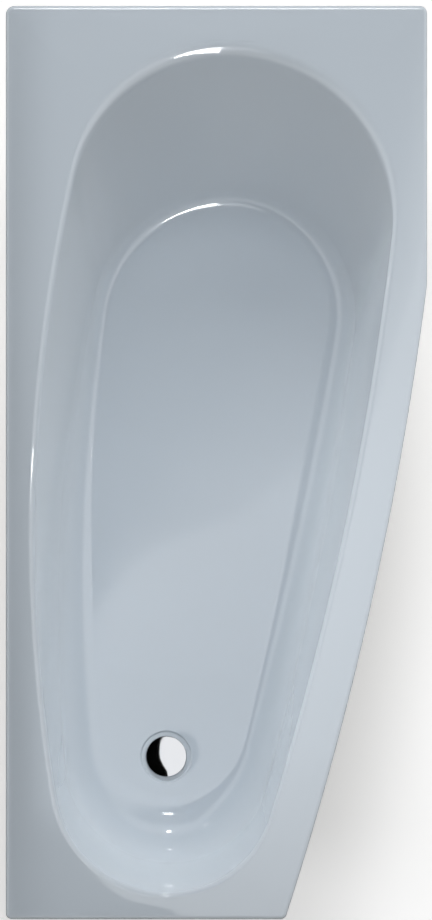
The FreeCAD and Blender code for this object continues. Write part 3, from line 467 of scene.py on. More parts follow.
# Glass-fibre laminate: chopped strands in every direction, pale in greenish resin, rolled down by hand
laminate, sockets, here = surface("laminate", {"IOR": 1.52})
strands = None
for turn, stretch in ((0.3, 1.0), (1.1, 1.15), (1.9, 0.9), (2.7, 1.05), (3.6, 1.2), (4.4, 0.95)):
    laid = here.node(
        "ShaderNodeMapping",
        inputs={"Vector": here, "Rotation": (turn, 1.7 * turn, turn), "Scale": (420 * stretch, 16, 420)},
    )
    web = noise(laid, 1.0, 1.5)
    strand = (1 - (web - 0.5).maths("ABSOLUTE") * 24).clamped()
    strands = strand if strands is None else strands.maths("MAXIMUM", strand)
resin = noise(here, 18.0, 5.0)
ground = resin.mix((0.42, 0.43, 0.36, 1), (0.60, 0.61, 0.54, 1))
here.feed(sockets["Base Color"], (strands * 0.8).mix(ground, (0.74, 0.75, 0.70, 1)))
here.feed(sockets["Roughness"], 0.30 + resin * 0.35)
here.feed(sockets["Normal"], bumped(0.7, 0.0008, strands + resin))

# The well's two skins, of acrylic inside and of laminate outside
inside = shaped(well_tree, {**well_sizes, "Top": rim, "Grow": 0.0, "Lumps": 0.0}, acrylic)
outside = shaped(well_tree, {**well_sizes, "Top": rim - wall, "Grow": wall, "Lumps": 0.0022}, laminate)
shell = bmesh.new()
shell.from_mesh(outside)
bmesh.ops.reverse_faces(shell, faces=shell.faces)
outside_count = len(shell.faces)
shell.from_mesh(inside)
for index, face in enumerate(shell.faces):
    face.material_index = 1 if index < outside_count else 0

# The deck's edge, rounded over and turned down to the lip, and back up behind it
lip_steps = 5
rings = []
for step in range(lip_steps + 1):
    turn = math.pi / 2 * step / lip_steps
    inset = lip_round * (1 - math.sin(turn))
    rings.append((ring_of(shell, deck_outline(inset), rim - lip_round * (1 - math.cos(turn))), 0))
lip_level = rim - lip_depth
lip_soft = 0.001
for inset, level, material in (
    (0, lip_level + lip_soft, 0), (0.3 * lip_soft, lip_level + 0.3 * lip_soft, 0), (lip_soft, lip_level, 0),
    (lip_wall - lip_soft, lip_level, 1), (lip_wall, lip_level + lip_soft, 1),
    (lip_wall, rim - wall - lip_soft, 1), (lip_wall + lip_soft, rim - wall, 1),
):
    rings.append((ring_of(shell, deck_outline(inset), level), material))
for (upper, _), (lower, material) in zip(rings, rings[1:]):
    bridge(shell, upper, lower, material)
fill_flat(shell, open_ring(shell, rim), 1, 0)
fill_flat(shell, open_ring(shell, rim - wall), -1, 1)

# The recess steps down to the waste hole; below, a thicker pad of laminate surrounds the hole
swing = math.acos(1 - recess_depth / (2 * recess_round))
half_steps = 4
recess_rings = []
for step in range(2 * half_steps + 1):
    turn = swing * min(step, 2 * half_steps - step) / half_steps
    across = recess_round * (math.sin(swing) - math.sin(turn))
    drop = recess_round * (1 - math.cos(turn))
    if step <= half_steps:
        recess_rings.append((recess_radius + across, floor_level - drop, 0))
    else:
        recess_rings.append((recess_radius - across, floor_level - recess_depth + drop, 0))
recess_level = floor_level - recess_depth
hole_soft = 0.0008
cut_soft = 0.0006
boss_soft = 0.0010
recess_rings += [
    (waste_hole_radius + hole_soft, recess_level, 0), (waste_hole_radius, recess_level - hole_soft, 0),
    (waste_hole_radius, boss_level + cut_soft, 1), (waste_hole_radius + cut_soft, boss_level, 1),
    (boss_radius - boss_soft, boss_level, 1), (boss_radius, boss_level + boss_soft, 1),
    (boss_radius, floor_level - wall - boss_soft, 1), (boss_radius + boss_soft, floor_level - wall, 1),
]
rings = [(ring_of(shell, circle(radius, waste), level), material) for radius, level, material in recess_rings]
for (upper, _), (lower, material) in zip(rings, rings[1:]):
    bridge(shell, lower, upper, material)
fill_flat(shell, open_ring(shell, floor_level), 1, 0)
fill_flat(shell, open_ring(shell, floor_level - wall), -1, 1)
bmesh.ops.recalc_face_normals(shell, faces=shell.faces)
shell_mesh = bpy.data.meshes.new("tub_shell_moulding")
shell.to_mesh(shell_mesh)
shell.free()
shell_mesh.materials.append(acrylic)
shell_mesh.materials.append(laminate)
piece("tub_shell_moulding", shell_mesh, "tub", "acrylic", "tub_shell", sharp=35)

# Stiffening board
# A panel of pressed wood chips, bonded with resin under the floor of the well. It spreads the bather's weight
# over the thin shell and takes the screws of both rails.


def welded(node):
    """The facets of a CAD solid joined into whole faces, ready to be worked on."""
    form = bmesh.new()
    form.from_mesh(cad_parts[node].data)
    bmesh.ops.remove_doubles(form, verts=form.verts, dist=weld_reach)
    bmesh.ops.dissolve_limit(form, angle_limit=math.radians(1), verts=form.verts, edges=form.edges)
    return form


def soften(form, round_size, steps=2):
    """Narrow rounds along every sharp edge."""
    sharp = [
        edge for edge in form.edges
        if len(edge.link_faces) == 2 and edge.calc_face_angle() > math.radians(40)
    ]
    bmesh.ops.bevel(form, geom=sharp, offset=round_size, segments=steps, profile=0.5, affect="EDGES",
                    clamp_overlap=True)


def finished(form, material):
    """A worked form as a mesh with its material."""
    bmesh.ops.recalc_face_normals(form, faces=form.faces)
    mesh = bpy.data.meshes.new("form")
    form.to_mesh(mesh)
    form.free()
    mesh.materials.append(material)
    return mesh


# Chipboard: flakes of many tones pressed flat, with fine dust between them
chipboard, sockets, here = surface("chipboard", {"Specular IOR Level": 0.3, "Roughness": 0.75})
bent = noise(here, 90.0, 2.0, output=1)
moved = here.node("ShaderNodeMix", {"data_type": "VECTOR"}, {0: 0.004, 4: here, 5: bent}, output=1)
flakes = here.node("ShaderNodeTexVoronoi", inputs={"Vector": moved, "Scale": 260.0}, output=1)
tone = here.node("ShaderNodeSeparateColor", inputs={0: flakes})
dust = noise(here, 900.0, 3.0)
flake_colour = here.node(
    "ShaderNodeValToRGB",
    {"stops": [(0.0, (0.24, 0.13, 0.055)), (0.45, (0.40, 0.25, 0.12)), (1.0, (0.58, 0.41, 0.23))]},
    {0: tone * 0.75 + dust * 0.3},
)
here.feed(sockets["Base Color"], flake_colour)
here.feed(sockets["Normal"], bumped(0.5, 0.0003, tone + dust))

board = welded("base_board")
soften(board, 0.0008)
piece("chipboard_panel", finished(board, chipboard), "tub", "chipboard", "base_board")

# Battens
# Sawn pine strips laid in resin under the deck, inside the turned-down lip. They keep the edge of the deck
# straight and level; the one on the tapered side is bent to its curve.


def pine(name, run):
    """Sawn pine with growth rings round an axis and fine fibre along the run."""
    material, sockets, here = surface(name, {"Specular IOR Level": 0.3})
    rings = here.node(
        "ShaderNodeTexWave",
        {"wave_type": "RINGS", "rings_direction": run, "wave_profile": "SAW"},
        {"Vector": here, "Scale": 62.0, "Distortion": 5.0, "Detail": 2.0, "Detail Scale": 0.08},
    )
    stretch = (4, 420, 420) if run == "X" else (420, 4, 420)
    laid = here.node("ShaderNodeMapping", inputs={"Vector": here, "Scale": stretch})
    fibre = noise(laid, 1.0, 4.0)
    mottle = noise(here, 9.0, 2.0)
    colour = here.node(
        "ShaderNodeValToRGB",
        {"stops": [(0.0, (0.62, 0.43, 0.22)), (0.6, (0.55, 0.35, 0.16)), (1.0, (0.36, 0.19, 0.07))]},
        {0: rings * 0.7 + fibre * 0.25 + mottle * 0.2 - 0.1},
    )
    here.feed(sockets["Base Color"], colour)
    here.feed(sockets["Roughness"], 0.62 + fibre * 0.2)
    here.feed(sockets["Normal"], bumped(0.6, 0.0002, fibre + rings))
    return material


pine_across = pine("pine_across", "X")
pine_along = pine("pine_along", "Y")
for node, timber in (
    ("head_batten", pine_across),
    ("foot_batten", pine_across),
    ("long_side_batten", pine_along),
    ("short_side_batten", pine_along),
    ("taper_batten", pine_along),
):
    strip = welded(node)
    soften(strip, 0.0012)
    piece(f"{node}_strip", finished(strip, timber), "tub", "timber", node)

# Rails
# Two channels folded from galvanised sheet, punched for the feet and for the wood screws that hold them
# to the board. Each fold has a round outside and a tighter one inside.

# Hot-dip galvanised sheet: crystals of zinc that catch the light each at its own tone
galvanised, sockets, here = surface("galvanised_sheet", {"Metallic": 1.0})
bent = noise(here, 45.0, 3.0, output=1)
moved = here.node("ShaderNodeMix", {"data_type": "VECTOR"}, {0: 0.012, 4: here, 5: bent}, output=1)
crystals = here.node("ShaderNodeTexVoronoi", inputs={"Vector": moved, "Scale": 105.0}, output=1)
tone = here.node("ShaderNodeSeparateColor", inputs={0: crystals})
bloom = noise(here, 24.0, 5.0)
here.feed(sockets["Base Color"], (tone * 0.6 + bloom * 0.4).mix((0.47, 0.49, 0.51, 1), (0.74, 0.76, 0.78, 1)))
here.feed(sockets["Roughness"], 0.26 + tone * 0.16 + bloom * 0.12)

sheet_gauge = 0.002
fold_round = 0.003
near = 0.0001


def folded_channel(low, high, punched):
    """A channel open below, folded from sheet, with round holes (x, radius) through its web."""
    middle = (low.y + high.y) / 2
    half = (high.y - low.y) / 2
    inner = half - sheet_gauge
    web = high.z - sheet_gauge
    trim = 0.0003
    corners = [(-half, low.z), (-half, high.z), (half, high.z), (half, low.z),
               (inner, low.z), (inner, web), (-inner, web), (-inner, low.z)]
    tight = fold_round - sheet_gauge
    section = rounded(
        [Vector(corner) for corner in corners],
        [trim, fold_round, fold_round, trim, trim, tight, tight, trim],
    )
    form = bmesh.new()
    ends = [[form.verts.new((x, middle + point.x, point.y)) for point in section] for x in (low.x, high.x)]
    for end in ends:
        form.faces.new(end)
    holes = {
        level: [ring_of(form, circle(radius, Vector((x, middle)), 36), level) for x, radius in punched]
        for level in (high.z, web)
    }
    for upper, lower in zip(holes[high.z], holes[web]):
        bridge(form, upper, lower, 0)
    for index, point in enumerate(section):
        after = (index + 1) % len(section)
        strip = [ends[0][index], ends[0][after], ends[1][after], ends[1][index]]
        if abs(section[after].x - point.x) < half:
            form.faces.new(strip)
            continue
        level = high.z if point.y > web + near else web
        edges = ring_edges(form, strip) + [edge for ring in holes[level] for edge in ring_edges(form, ring)]
        fill_flat(form, edges, 1 if level > web else -1, 0)
    bmesh.ops.triangulate(form, faces=[face for face in form.faces if len(face.verts) > 4],
                          ngon_method="EAR_CLIP")
    return form


foot_spots = {}
for foot in ("head_long", "head_taper", "foot_long", "foot_taper"):
    low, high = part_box(f"foot_pad_{foot}")
    foot_spots[foot] = Vector(((low.x + high.x) / 2, (low.y + high.y) / 2, 0))
screw_spacing = 0.062
foot_hole = 0.0063
screw_hole = 0.0028
for end, screws_x in (("head", well_sizes["Crown x"]), ("foot", well_sizes["Toe x"])):
    low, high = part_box(f"{end}_rail")
    punched = [(foot_spots[f"{end}_{side}"].x, foot_hole) for side in ("long", "taper")]
    punched += [(screws_x + step * screw_spacing, screw_hole) for step in (-1, 0, 1)]
    channel = folded_channel(low, high, punched)
    piece(f"{end}_rail_channel", finished(channel, galvanised), "tub", "galvanised_steel", f"{end}_rail")

# Rail screws
# Six pan-head wood screws, zinc-plated, three through each rail up into the board, with a cross recess
# in the head and a coarse rolled thread.


def turned(profile, count=72, fine_radius=None, fine_step=0.001, closed=True):
    """A form turned about Z from a section of (radius, height, round), with more rings along one wall."""
    corners = [Vector(point[:2]) for point in profile]
    section = rounded(corners, [point[2] for point in profile], steps=4)
    points = []
    for index, point in enumerate(section):
        after = section[(index + 1) % len(section)]
        points.append(point)
        if fine_radius is not None and all(abs(end.x - fine_radius) < near for end in (point, after)):
            cuts = max(1, round((after - point).length / fine_step))
            points += [point.lerp(after, cut / cuts) for cut in range(1, cuts)]
    form = bmesh.new()
    rings = []
    for point in points:
        if point.x < 0.000001:
            rings.append([form.verts.new((0, 0, point.y))])
        else:
            rings.append(ring_of(form, circle(point.x, Vector((0, 0)), count), point.y))
    pairs = list(zip(rings, rings[1:])) + ([(rings[-1], rings[0])] if closed else [])
    for upper, lower in pairs:
        if len(upper) == 1 and len(lower) == 1:
            continue
        for index in range(count):
            after = (index + 1) % count
            if len(upper) == 1:
                form.faces.new((upper[0], lower[index], lower[after]))
            elif len(lower) == 1:
                form.faces.new((upper[index], lower[0], upper[after]))
            else:
                form.faces.new((upper[index], lower[index], lower[after], upper[after]))
    bmesh.ops.remove_doubles(form, verts=form.verts, dist=0.000001)
    return form


def polar(lead):
    """Height, distance from the axis and turn about it of each point."""
    spot = lead.node("GeometryNodeInputPosition")
    parts = lead.node("ShaderNodeSeparateXYZ", inputs={0: spot})
    x, y, z = (Lead(lead.tree, parts.socket.node.outputs[index]) for index in range(3))
    return spot, z, (x * x + y * y).maths("SQRT"), y.maths("ARCTAN2", x)


def scaled_from_axis(lead, blank, share):
    """Moves each point to a share of its distance from the axis."""
    spot = lead.node("GeometryNodeInputPosition")
    factor = lead.node("ShaderNodeCombineXYZ", inputs={0: share, 1: share, 2: 1.0})
    place = lead.node("ShaderNodeVectorMath", {"operation": "MULTIPLY"}, {0: spot, 1: factor})
    return lead.node("GeometryNodeSetPosition", inputs={"Geometry": blank, "Position": place})


wall_skin = 0.0002
fade_run = 0.002

# A rolled thread: a groove that climbs by its pitch in each turn, and runs out at both ends
thread_tree, size = node_tree(
    "rolled_thread", ["Radius", "Depth", "Pitch", "Bottom", "Top"], takes_shape=True
)
spot, height, reach, turn = polar(size["Radius"])
phase = (height / size["Pitch"] - turn / (2 * math.pi)).maths("FRACT")
groove = (2 * phase - 1).maths("ABSOLUTE")
risen = ((height - size["Bottom"]) / size["Pitch"]).clamped()
left = ((size["Top"] - height) / size["Pitch"]).clamped()
on_wall = reach > size["Radius"] - wall_skin
share = 1 - size["Depth"] * groove * (risen * left) * on_wall / reach.maths("MAXIMUM", near)
close_tree(thread_tree, scaled_from_axis(spot, size["Blank"], share), size["Material"])

# Copies of one piece at the points of a blank
copy_tree, size = node_tree("copies", [], takes_shape=True, takes_piece=True)
model = size["Piece"].node("GeometryNodeObjectInfo", inputs={"Object": size["Piece"]}, output=4)
laid_out = model.node("GeometryNodeInstanceOnPoints", inputs={"Points": size["Blank"], "Instance": model})
close_tree(copy_tree, laid_out, size["Material"])


def copies(mesh, spots, material):
    """One mesh with a copy of the piece at each of the spots."""
    pattern = bpy.data.objects.new("pattern", mesh)
    collection.objects.link(pattern)
    blank = bpy.data.meshes.new("spots")
    blank.from_pydata(spots, [], [])
    made = shaped(copy_tree, {"Piece": pattern}, material, blank)
    bpy.data.objects.remove(pattern)
    return made


# Zinc plating: bright, bluish, a little cloudy
zinc, sockets, here = surface("zinc_plating", {"Metallic": 1.0})
cloud = noise(here, 120.0, 4.0)
here.feed(sockets["Base Color"], cloud.mix((0.56, 0.58, 0.60, 1), (0.74, 0.76, 0.79, 1)))
here.feed(sockets["Roughness"], 0.20 + cloud * 0.18)

screw_radius = 0.0025
screw_head = 0.003
screw_length = 0.014
head_radius = 0.005
face_radius = 0.0036
cross_depth = 0.0017
pan_head = turned(
    [
        (face_radius, -screw_head, 0), (head_radius, -0.0014, 0.0008), (head_radius, 0, 0.0002),
        (screw_radius, 0, 0.0002), (screw_radius, screw_length - 0.004, 0), (0, screw_length, 0),
    ],
    count=36, fine_radius=screw_radius, fine_step=0.0004, closed=False,
)
arm, half_arm = 0.0026, 0.0006
cross = [(arm, half_arm), (half_arm, half_arm), (half_arm, arm)]
cross += [(-y, x) for x, y in cross] + [(-x, -y) for x, y in cross] + [(y, -x) for x, y in cross]
cross.sort(key=lambda point: math.atan2(point[1], point[0]))
mouth = ring_of(pan_head, [Vector(point) for point in cross], -screw_head)
base = ring_of(pan_head, [Vector(point) * 0.7 for point in cross], -screw_head + cross_depth)
bridge(pan_head, mouth, base, 0)
pan_head.faces.new(base)
fill_flat(pan_head, open_ring(pan_head, -screw_head), -1, 0)
screw_mesh = shaped(
    thread_tree,
    {"Radius": screw_radius, "Depth": 0.0006, "Pitch": 0.0018, "Bottom": 0.0025, "Top": screw_length},
    zinc, finished(pan_head, zinc),
)
head_rail_y = sum(corner.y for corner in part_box("head_rail")) / 2
foot_rail_y = sum(corner.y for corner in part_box("foot_rail")) / 2
rail_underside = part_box("head_rail")[1].z - sheet_gauge
screw_spots = [
    (middle + step * screw_spacing, y, rail_underside)
    for middle, y in ((well_sizes["Crown x"], head_rail_y), (well_sizes["Toe x"], foot_rail_y))
    for step in (-1, 0, 1)
]
piece("pan_head_screws", copies(screw_mesh, screw_spots, zinc), "tub", "zinc_steel", "rail_screws")

# Rail nuts
# Four hexagon nuts pressed into the rails from below, one over each foot; the foot screws turn in them.

# A hexagon milled from round bar, with the corners turned off by a cone at both faces
cone_slope = 1.73
cone_share = 0.98
hexagon_tree, size = node_tree(
    "milled_hexagon", ["Flat", "Corner", "Bore", "Cone", "Bottom", "Top"], takes_shape=True
)
spot, height, reach, turn = polar(size["Flat"])
sector = (turn / (math.pi / 3) + 0.5).maths("FRACT") - 0.5
flat = size["Flat"] / (sector * (math.pi / 3)).maths("COSINE")
from_face = (height - size["Bottom"]).maths("MINIMUM", size["Top"] - height).maths("MAXIMUM", 0)
limit = flat.maths("MINIMUM", size["Cone"] + from_face * cone_slope)
inside_nut = (height > size["Bottom"] - 0.00001) * (height < size["Top"] + 0.00001) * (reach > size["Bore"])
milled = size["Bore"] + (reach - size["Bore"]) * (limit - size["Bore"]) / (size["Corner"] - size["Bore"])
share = where(inside_nut, milled / reach.maths("MAXIMUM", near), 1)
close_tree(hexagon_tree, scaled_from_axis(spot, size["Blank"], share), size["Material"])


def hexagon_nut(across, bore, bottom, top, material, edge=0.0004):
    """A nut on the Z axis, milled to its width across flats."""
    corner = across / math.sqrt(3)
    blank = turned(
        [(bore, bottom, edge), (corner, bottom, 0), (corner, top, 0), (bore, top, edge)],
        fine_radius=corner, fine_step=0.0004,
    )
    sizes = {"Flat": across / 2, "Corner": corner, "Bore": bore + edge, "Cone": across / 2 * cone_share,
             "Bottom": bottom, "Top": top}
    return shaped(hexagon_tree, sizes, material, finished(blank, material))


stud_radius = 0.006
nut_across = 0.019
nut_low, nut_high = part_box("rail_nuts")
rail_nut = hexagon_nut(nut_across, stud_radius, nut_low.z, nut_high.z, zinc)
piece("pressed_nuts", copies(rail_nut, foot_spots.values(), zinc), "tub", "zinc_steel", "rail_nuts")

# Feet
# Each foot is a zinc-plated screw with a hexagon collar that turns in a moulded disc, and a locknut
# that is tightened against the rail's nut once the tub stands level.

# Black moulded plastic: dull, with the fine texture of its mould
black_plastic, sockets, here = surface("black_plastic", {"Base Color": (0.022, 0.022, 0.024, 1)})
grain = noise(here, 1600.0, 2.0)
wear = noise(here, 60.0, 4.0)
here.feed(sockets["Roughness"], 0.38 + wear * 0.22)
here.feed(sockets["Normal"], bumped(0.4, 0.0001, grain))

# Webs moulded on a cone: the cone sinks between them
web_tree, size = node_tree("moulded_webs", ["Inner", "Outer", "Sink", "Count", "Level"], takes_shape=True)
spot, height, reach, turn = polar(size["Inner"])
valley = (0.5 - (turn * size["Count"]).maths("COSINE")).clamped()
across = ((reach - size["Inner"]) / fade_run).clamped() * ((size["Outer"] - reach) / fade_run).clamped()
fall = size["Sink"] * valley * across * (height > size["Level"])
drop = spot.node("ShaderNodeCombineXYZ", inputs={0: 0.0, 1: 0.0, 2: fall * -1})
webbed = spot.node("GeometryNodeSetPosition", inputs={"Geometry": size["Blank"], "Offset": drop})
close_tree(web_tree, webbed, size["Material"])

stud_low, stud_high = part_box("foot_stud_head_long")
disc_top = 0.014
collar_top = 0.020
collar_radius = nut_across / math.sqrt(3)
stud = turned(
    [
        (0, stud_low.z, 0), (stud_radius, stud_low.z, 0.0008), (stud_radius, disc_top, 0.0002),
        (collar_radius, disc_top, 0), (collar_radius, collar_top, 0), (stud_radius, collar_top, 0.0004),
        (stud_radius, stud_high.z - 0.0015, 0.0003), (stud_radius - 0.0015, stud_high.z, 0.0003),
        (0, stud_high.z, 0),
    ],
    count=36, fine_radius=stud_radius, fine_step=0.00045,
)
upright = [
    edge for edge in stud.edges
    if all(abs(vert.co.xy.length - collar_radius) < near for vert in edge.verts)
    and abs(edge.verts[0].co.z - edge.verts[1].co.z) > near
]
bmesh.ops.subdivide_edges(stud, edges=upright, cuts=9, use_grid_fill=True)
stud_mesh = shaped(
    hexagon_tree,
    {"Flat": nut_across / 2, "Corner": collar_radius, "Bore": stud_radius + 0.0005,
     "Cone": nut_across / 2 * cone_share, "Bottom": disc_top, "Top": collar_top},
    zinc, finished(stud, zinc),
)
stud_mesh = shaped(
    thread_tree,
    {"Radius": stud_radius, "Depth": 0.0009, "Pitch": 0.00175, "Bottom": 0.024, "Top": stud_high.z},
    zinc, stud_mesh,
)
disc_radius = 0.030
disc_edge = 0.004
disc_bore = stud_radius + 0.0004
hub_radius = 0.011
hollow_level = 0.0012
disc = turned(
    [
        (0, hollow_level, 0), (disc_radius - 0.009, hollow_level, 0.0005), (disc_radius - 0.008, 0, 0.0004),
        (disc_radius, 0, 0.0006), (disc_radius, disc_edge, 0.0014), (hub_radius, disc_top, 0.0012),
        (disc_bore, disc_top, 0.0003), (disc_bore, disc_edge, 0), (0, disc_edge, 0),
    ],
    count=144,
)
slope = [
    edge for edge in disc.edges
    if abs(edge.verts[0].co.xy.length - edge.verts[1].co.xy.length) > 0.008
    and all(vert.co.z > 0.0025 for vert in edge.verts)
]
bmesh.ops.subdivide_edges(disc, edges=slope, cuts=14, use_grid_fill=True)
disc_mesh = shaped(
    web_tree,
    {"Inner": hub_radius + 0.0015, "Outer": disc_radius - 0.0015, "Sink": 0.0022, "Count": 12.0,
     "Level": disc_edge + 0.0005},
    black_plastic, finished(disc, black_plastic),
)
lock_low, lock_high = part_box("locknut_head_long")
lock_mesh = hexagon_nut(nut_across, stud_radius, lock_low.z, lock_high.z, zinc)
for foot, spot in foot_spots.items():
    for name, mesh, slot, node in (
        ("foot_screw", stud_mesh, "zinc_steel", "foot_stud"),
        ("foot_disc", disc_mesh, "black_plastic", "foot_pad"),
        ("lock_nut", lock_mesh, "zinc_steel", "locknut"),
    ):
        placed = mesh.copy()
        placed.transform(Matrix.Translation(spot))
        piece(f"{name}_{foot}", placed, f"foot_{foot}", slot, f"{node}_{foot}", sharp=35)

# Waste flange and its seals
# A brass flange, chromed, sits in the recess of the floor on a rubber ring; its threaded tail goes down
# through the hole, and a washer and a large nut clamp it from below.


def stand(mesh, name, body, slot, node, sharp=40):
    """Sets a form made on the Z axis on the waste's centre line."""
    mesh.transform(Matrix.Translation(waste))
    return piece(name, mesh, body, slot, node, sharp=sharp)


# Chromium plate over brass
chrome, sockets, here = surface("chrome", {"Metallic": 1.0, "Base Color": (0.55, 0.56, 0.58, 1)})
haze = noise(here, 260.0, 4.0)
here.feed(sockets["Roughness"], 0.03 + haze * 0.04)

# Rubber: black, matt, with a bloom of dust from its mould
rubber, sockets, here = surface("rubber", {"Specular IOR Level": 0.35})
bloom = noise(here, 150.0, 5.0)
here.feed(sockets["Base Color"], bloom.mix((0.018, 0.018, 0.019, 1), (0.045, 0.045, 0.048, 1)))
here.feed(sockets["Roughness"], 0.55 + bloom * 0.25)
here.feed(sockets["Normal"], bumped(0.3, 0.0001, bloom))

# Brass, bare and a little tarnished
brass, sockets, here = surface("brass", {"Metallic": 1.0})
tarnish = noise(here, 70.0, 6.0)
here.feed(sockets["Base Color"], tarnish.mix((0.74, 0.53, 0.22, 1), (0.46, 0.30, 0.11, 1)))
here.feed(sockets["Roughness"], 0.22 + tarnish * 0.22)

flange_low, flange_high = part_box("waste_flange")
flange_radius = 0.034
flange_level = flange_high.z - 0.0025
dish_radius = 0.027
bore_radius = 0.0205
tail_radius = 0.024
ledge_radius = 0.018
hub_bottom = 0.154
tail_pitch = 0.0023
thread_top = 0.180
flange = turned(
    [
        (bore_radius, flange_high.z - 0.002, 0.0003), (dish_radius, flange_high.z, 0.0006),
        (flange_radius, flange_high.z, 0.0012), (flange_radius, flange_level, 0.0003),
        (tail_radius, flange_level, 0.0003), (tail_radius, flange_low.z, 0.0008),
        (ledge_radius, flange_low.z, 0.0004), (ledge_radius, hub_bottom, 0.0003),
        (bore_radius, hub_bottom, 0),
    ],
    count=96, fine_radius=tail_radius, fine_step=0.0005,
)
flange_mesh = shaped(
    thread_tree,
    {"Radius": tail_radius, "Depth": 0.0011, "Pitch": tail_pitch, "Bottom": flange_low.z, "Top": thread_top},
    chrome, finished(flange, chrome),
)
stand(flange_mesh, "chromed_flange", "tub", "chrome", "waste_flange")


def rubber_ring(inner, outer, bottom, top, inner_round, outer_round):
    """A rubber ring of rectangular section, with its edges rounded."""
    section = [(inner, bottom, inner_round), (outer, bottom, outer_round),
               (outer, top, outer_round), (inner, top, inner_round)]
    return finished(turned(section), rubber)


def washer(node, inner, outer, bulge, name):
    """A rubber ring pressed between two faces, so that its edges swell."""
    low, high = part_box(node)
    swell = (high.z - low.z) * bulge
    return stand(rubber_ring(inner, outer, low.z, high.z, swell, swell), name, "tub", "rubber", node)


seal_bore = 0.0243
washer_radius = 0.038
washer("flange_seal", seal_bore, flange_radius, 0.42, "ring_under_flange")
washer("tail_washer", seal_bore, washer_radius, 0.35, "washer_under_floor")
nut_low, nut_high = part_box("waste_backnut")
backnut_across = 0.068
backnut = hexagon_nut(backnut_across, tail_radius, nut_low.z, nut_high.z, brass, edge=0.0008)
stand(backnut, "back_nut", "tub", "brass", "waste_backnut")

# Plug
# A domed chromed cap with a sealing ring, screwed on a brass stem. The stem slides in a guide inside the
# tail; a press frees it and a small coil spring lifts the cap.

cap_low, cap_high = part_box("plug_cap")
cap_radius = 0.036
cap_edge = 0.0035
dome_height = cap_high.z - cap_low.z - cap_edge
dome_radius = (cap_radius ** 2 + dome_height ** 2) / (2 * dome_height)
dome = []
dome_steps = 24
for step in range(1, dome_steps + 1):
    reach = cap_radius * (1 - step / dome_steps)
    dome.append((reach, cap_high.z - dome_radius + math.sqrt(dome_radius ** 2 - reach ** 2), 0))
cap = turned(
    [
        (0, cap_low.z, 0), (cap_radius - 0.001, cap_low.z, 0.0003),
        (cap_radius, cap_low.z + 0.0008, 0.0004), (cap_radius, cap_low.z + cap_edge, 0.0009),
        *dome,
    ],
    count=128,
)
stand(finished(cap, chrome), "domed_cap", "plug", "chrome", "plug_cap", sharp=50)

stem_low, stem_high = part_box("plug_stem")
stem_radius = 0.004
groove_radius = stem_radius - 0.0008
stem_head = 0.0135
seal_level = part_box("plug_seal")[0].z
stem = turned(
    [
        (0, stem_low.z, 0), (stem_radius - 0.0012, stem_low.z, 0),
        (stem_radius, stem_low.z + 0.0012, 0.0003), (stem_radius, stem_low.z + 0.006, 0.0002),
        (groove_radius, stem_low.z + 0.0064, 0.0002), (groove_radius, stem_low.z + 0.0082, 0.0002),
        (stem_radius, stem_low.z + 0.0086, 0.0002), (stem_radius, seal_level, 0.0004),
        (stem_head, seal_level, 0.0003), (stem_head, stem_high.z, 0), (0, stem_high.z, 0),
    ],
    count=48,
)
stand(finished(stem, brass), "sliding_stem", "plug", "brass", "plug_stem")
seal = turned([
    (stem_head, seal_level, 0.0002), (bore_radius, seal_level, 0.0004),
    (dish_radius - 0.002, cap_low.z - 0.0006, 0.0004), (dish_radius - 0.002, cap_low.z, 0.0001),
    (stem_head, cap_low.z, 0),
])
stand(finished(seal, rubber), "plug_ring", "plug", "rubber", "plug_seal")

# White moulded plastic, slightly creamy, with soft flow lines
white_plastic, sockets, here = surface("white_plastic", {"IOR": 1.49})
flow = noise(here, 45.0, 3.0)
here.feed(sockets["Base Color"], flow.mix((0.70, 0.70, 0.68, 1), (0.76, 0.76, 0.75, 1)))
here.feed(sockets["Roughness"], 0.26 + flow * 0.14)
here.feed(sockets["Normal"], bumped(0.2, 0.0002, flow))

cartridge = welded("plug_cartridge")
soften(cartridge, 0.0004)
piece("stem_guide", finished(cartridge, white_plastic), "tub", "white_plastic", "plug_cartridge")

# Spring steel: bright drawn wire
spring_steel, sockets, here = surface("spring_steel", {"Metallic": 1.0, "Base Color": (0.58, 0.58, 0.59, 1)})
drawn = noise(here, 900.0, 2.0)
here.feed(sockets["Roughness"], 0.18 + drawn * 0.15)

# A coil with one closed turn at each end
coil_tree, size = node_tree("closed_coil", ["Radius", "Wire", "Turns", "Bottom", "Top"])
spiral = size["Radius"].node(
    "GeometryNodeCurveSpiral",
    inputs={"Resolution": 40, "Rotations": size["Turns"], "Start Radius": size["Radius"],
            "End Radius": size["Radius"], "Height": size["Turns"]},
)
spot, turned_by, reach, turn = polar(spiral)
thick = size["Wire"] * 2
open_rise = size["Top"] - size["Bottom"] - 3 * thick
open_turns = size["Turns"] - 2
lift = thick * turned_by.clamped() + open_rise * ((turned_by - 1) / open_turns).clamped()
lift = lift + thick * (turned_by - open_turns - 1).clamped() - turned_by + size["Bottom"] + size["Wire"]
risen = spiral.node("ShaderNodeCombineXYZ", inputs={0: 0.0, 1: 0.0, 2: lift})
spiral = spiral.node("GeometryNodeSetPosition", inputs={"Geometry": spiral, "Offset": risen})
section = spiral.node("GeometryNodeCurvePrimitiveCircle", inputs={"Resolution": 12, "Radius": size["Wire"]})
coil = spiral.node(
    "GeometryNodeCurveToMesh", inputs={"Curve": spiral, "Profile Curve": section, "Fill Caps": True}
)
close_tree(coil_tree, coil, size["Material"])
spring_low, spring_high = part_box("plug_spring")
coil_mesh = shaped(
    coil_tree,
    {"Radius": 0.006, "Wire": 0.0006, "Turns": 6.0, "Bottom": spring_low.z, "Top": spring_high.z},
    spring_steel,
)
coil_mesh.transform(Matrix.Translation(waste))
coil_mesh.shade_smooth()
coil_mesh.set_sharp_from_angle(angle=math.radians(50))
lift_spring = bpy.data.objects.new("lift_spring", coil_mesh)
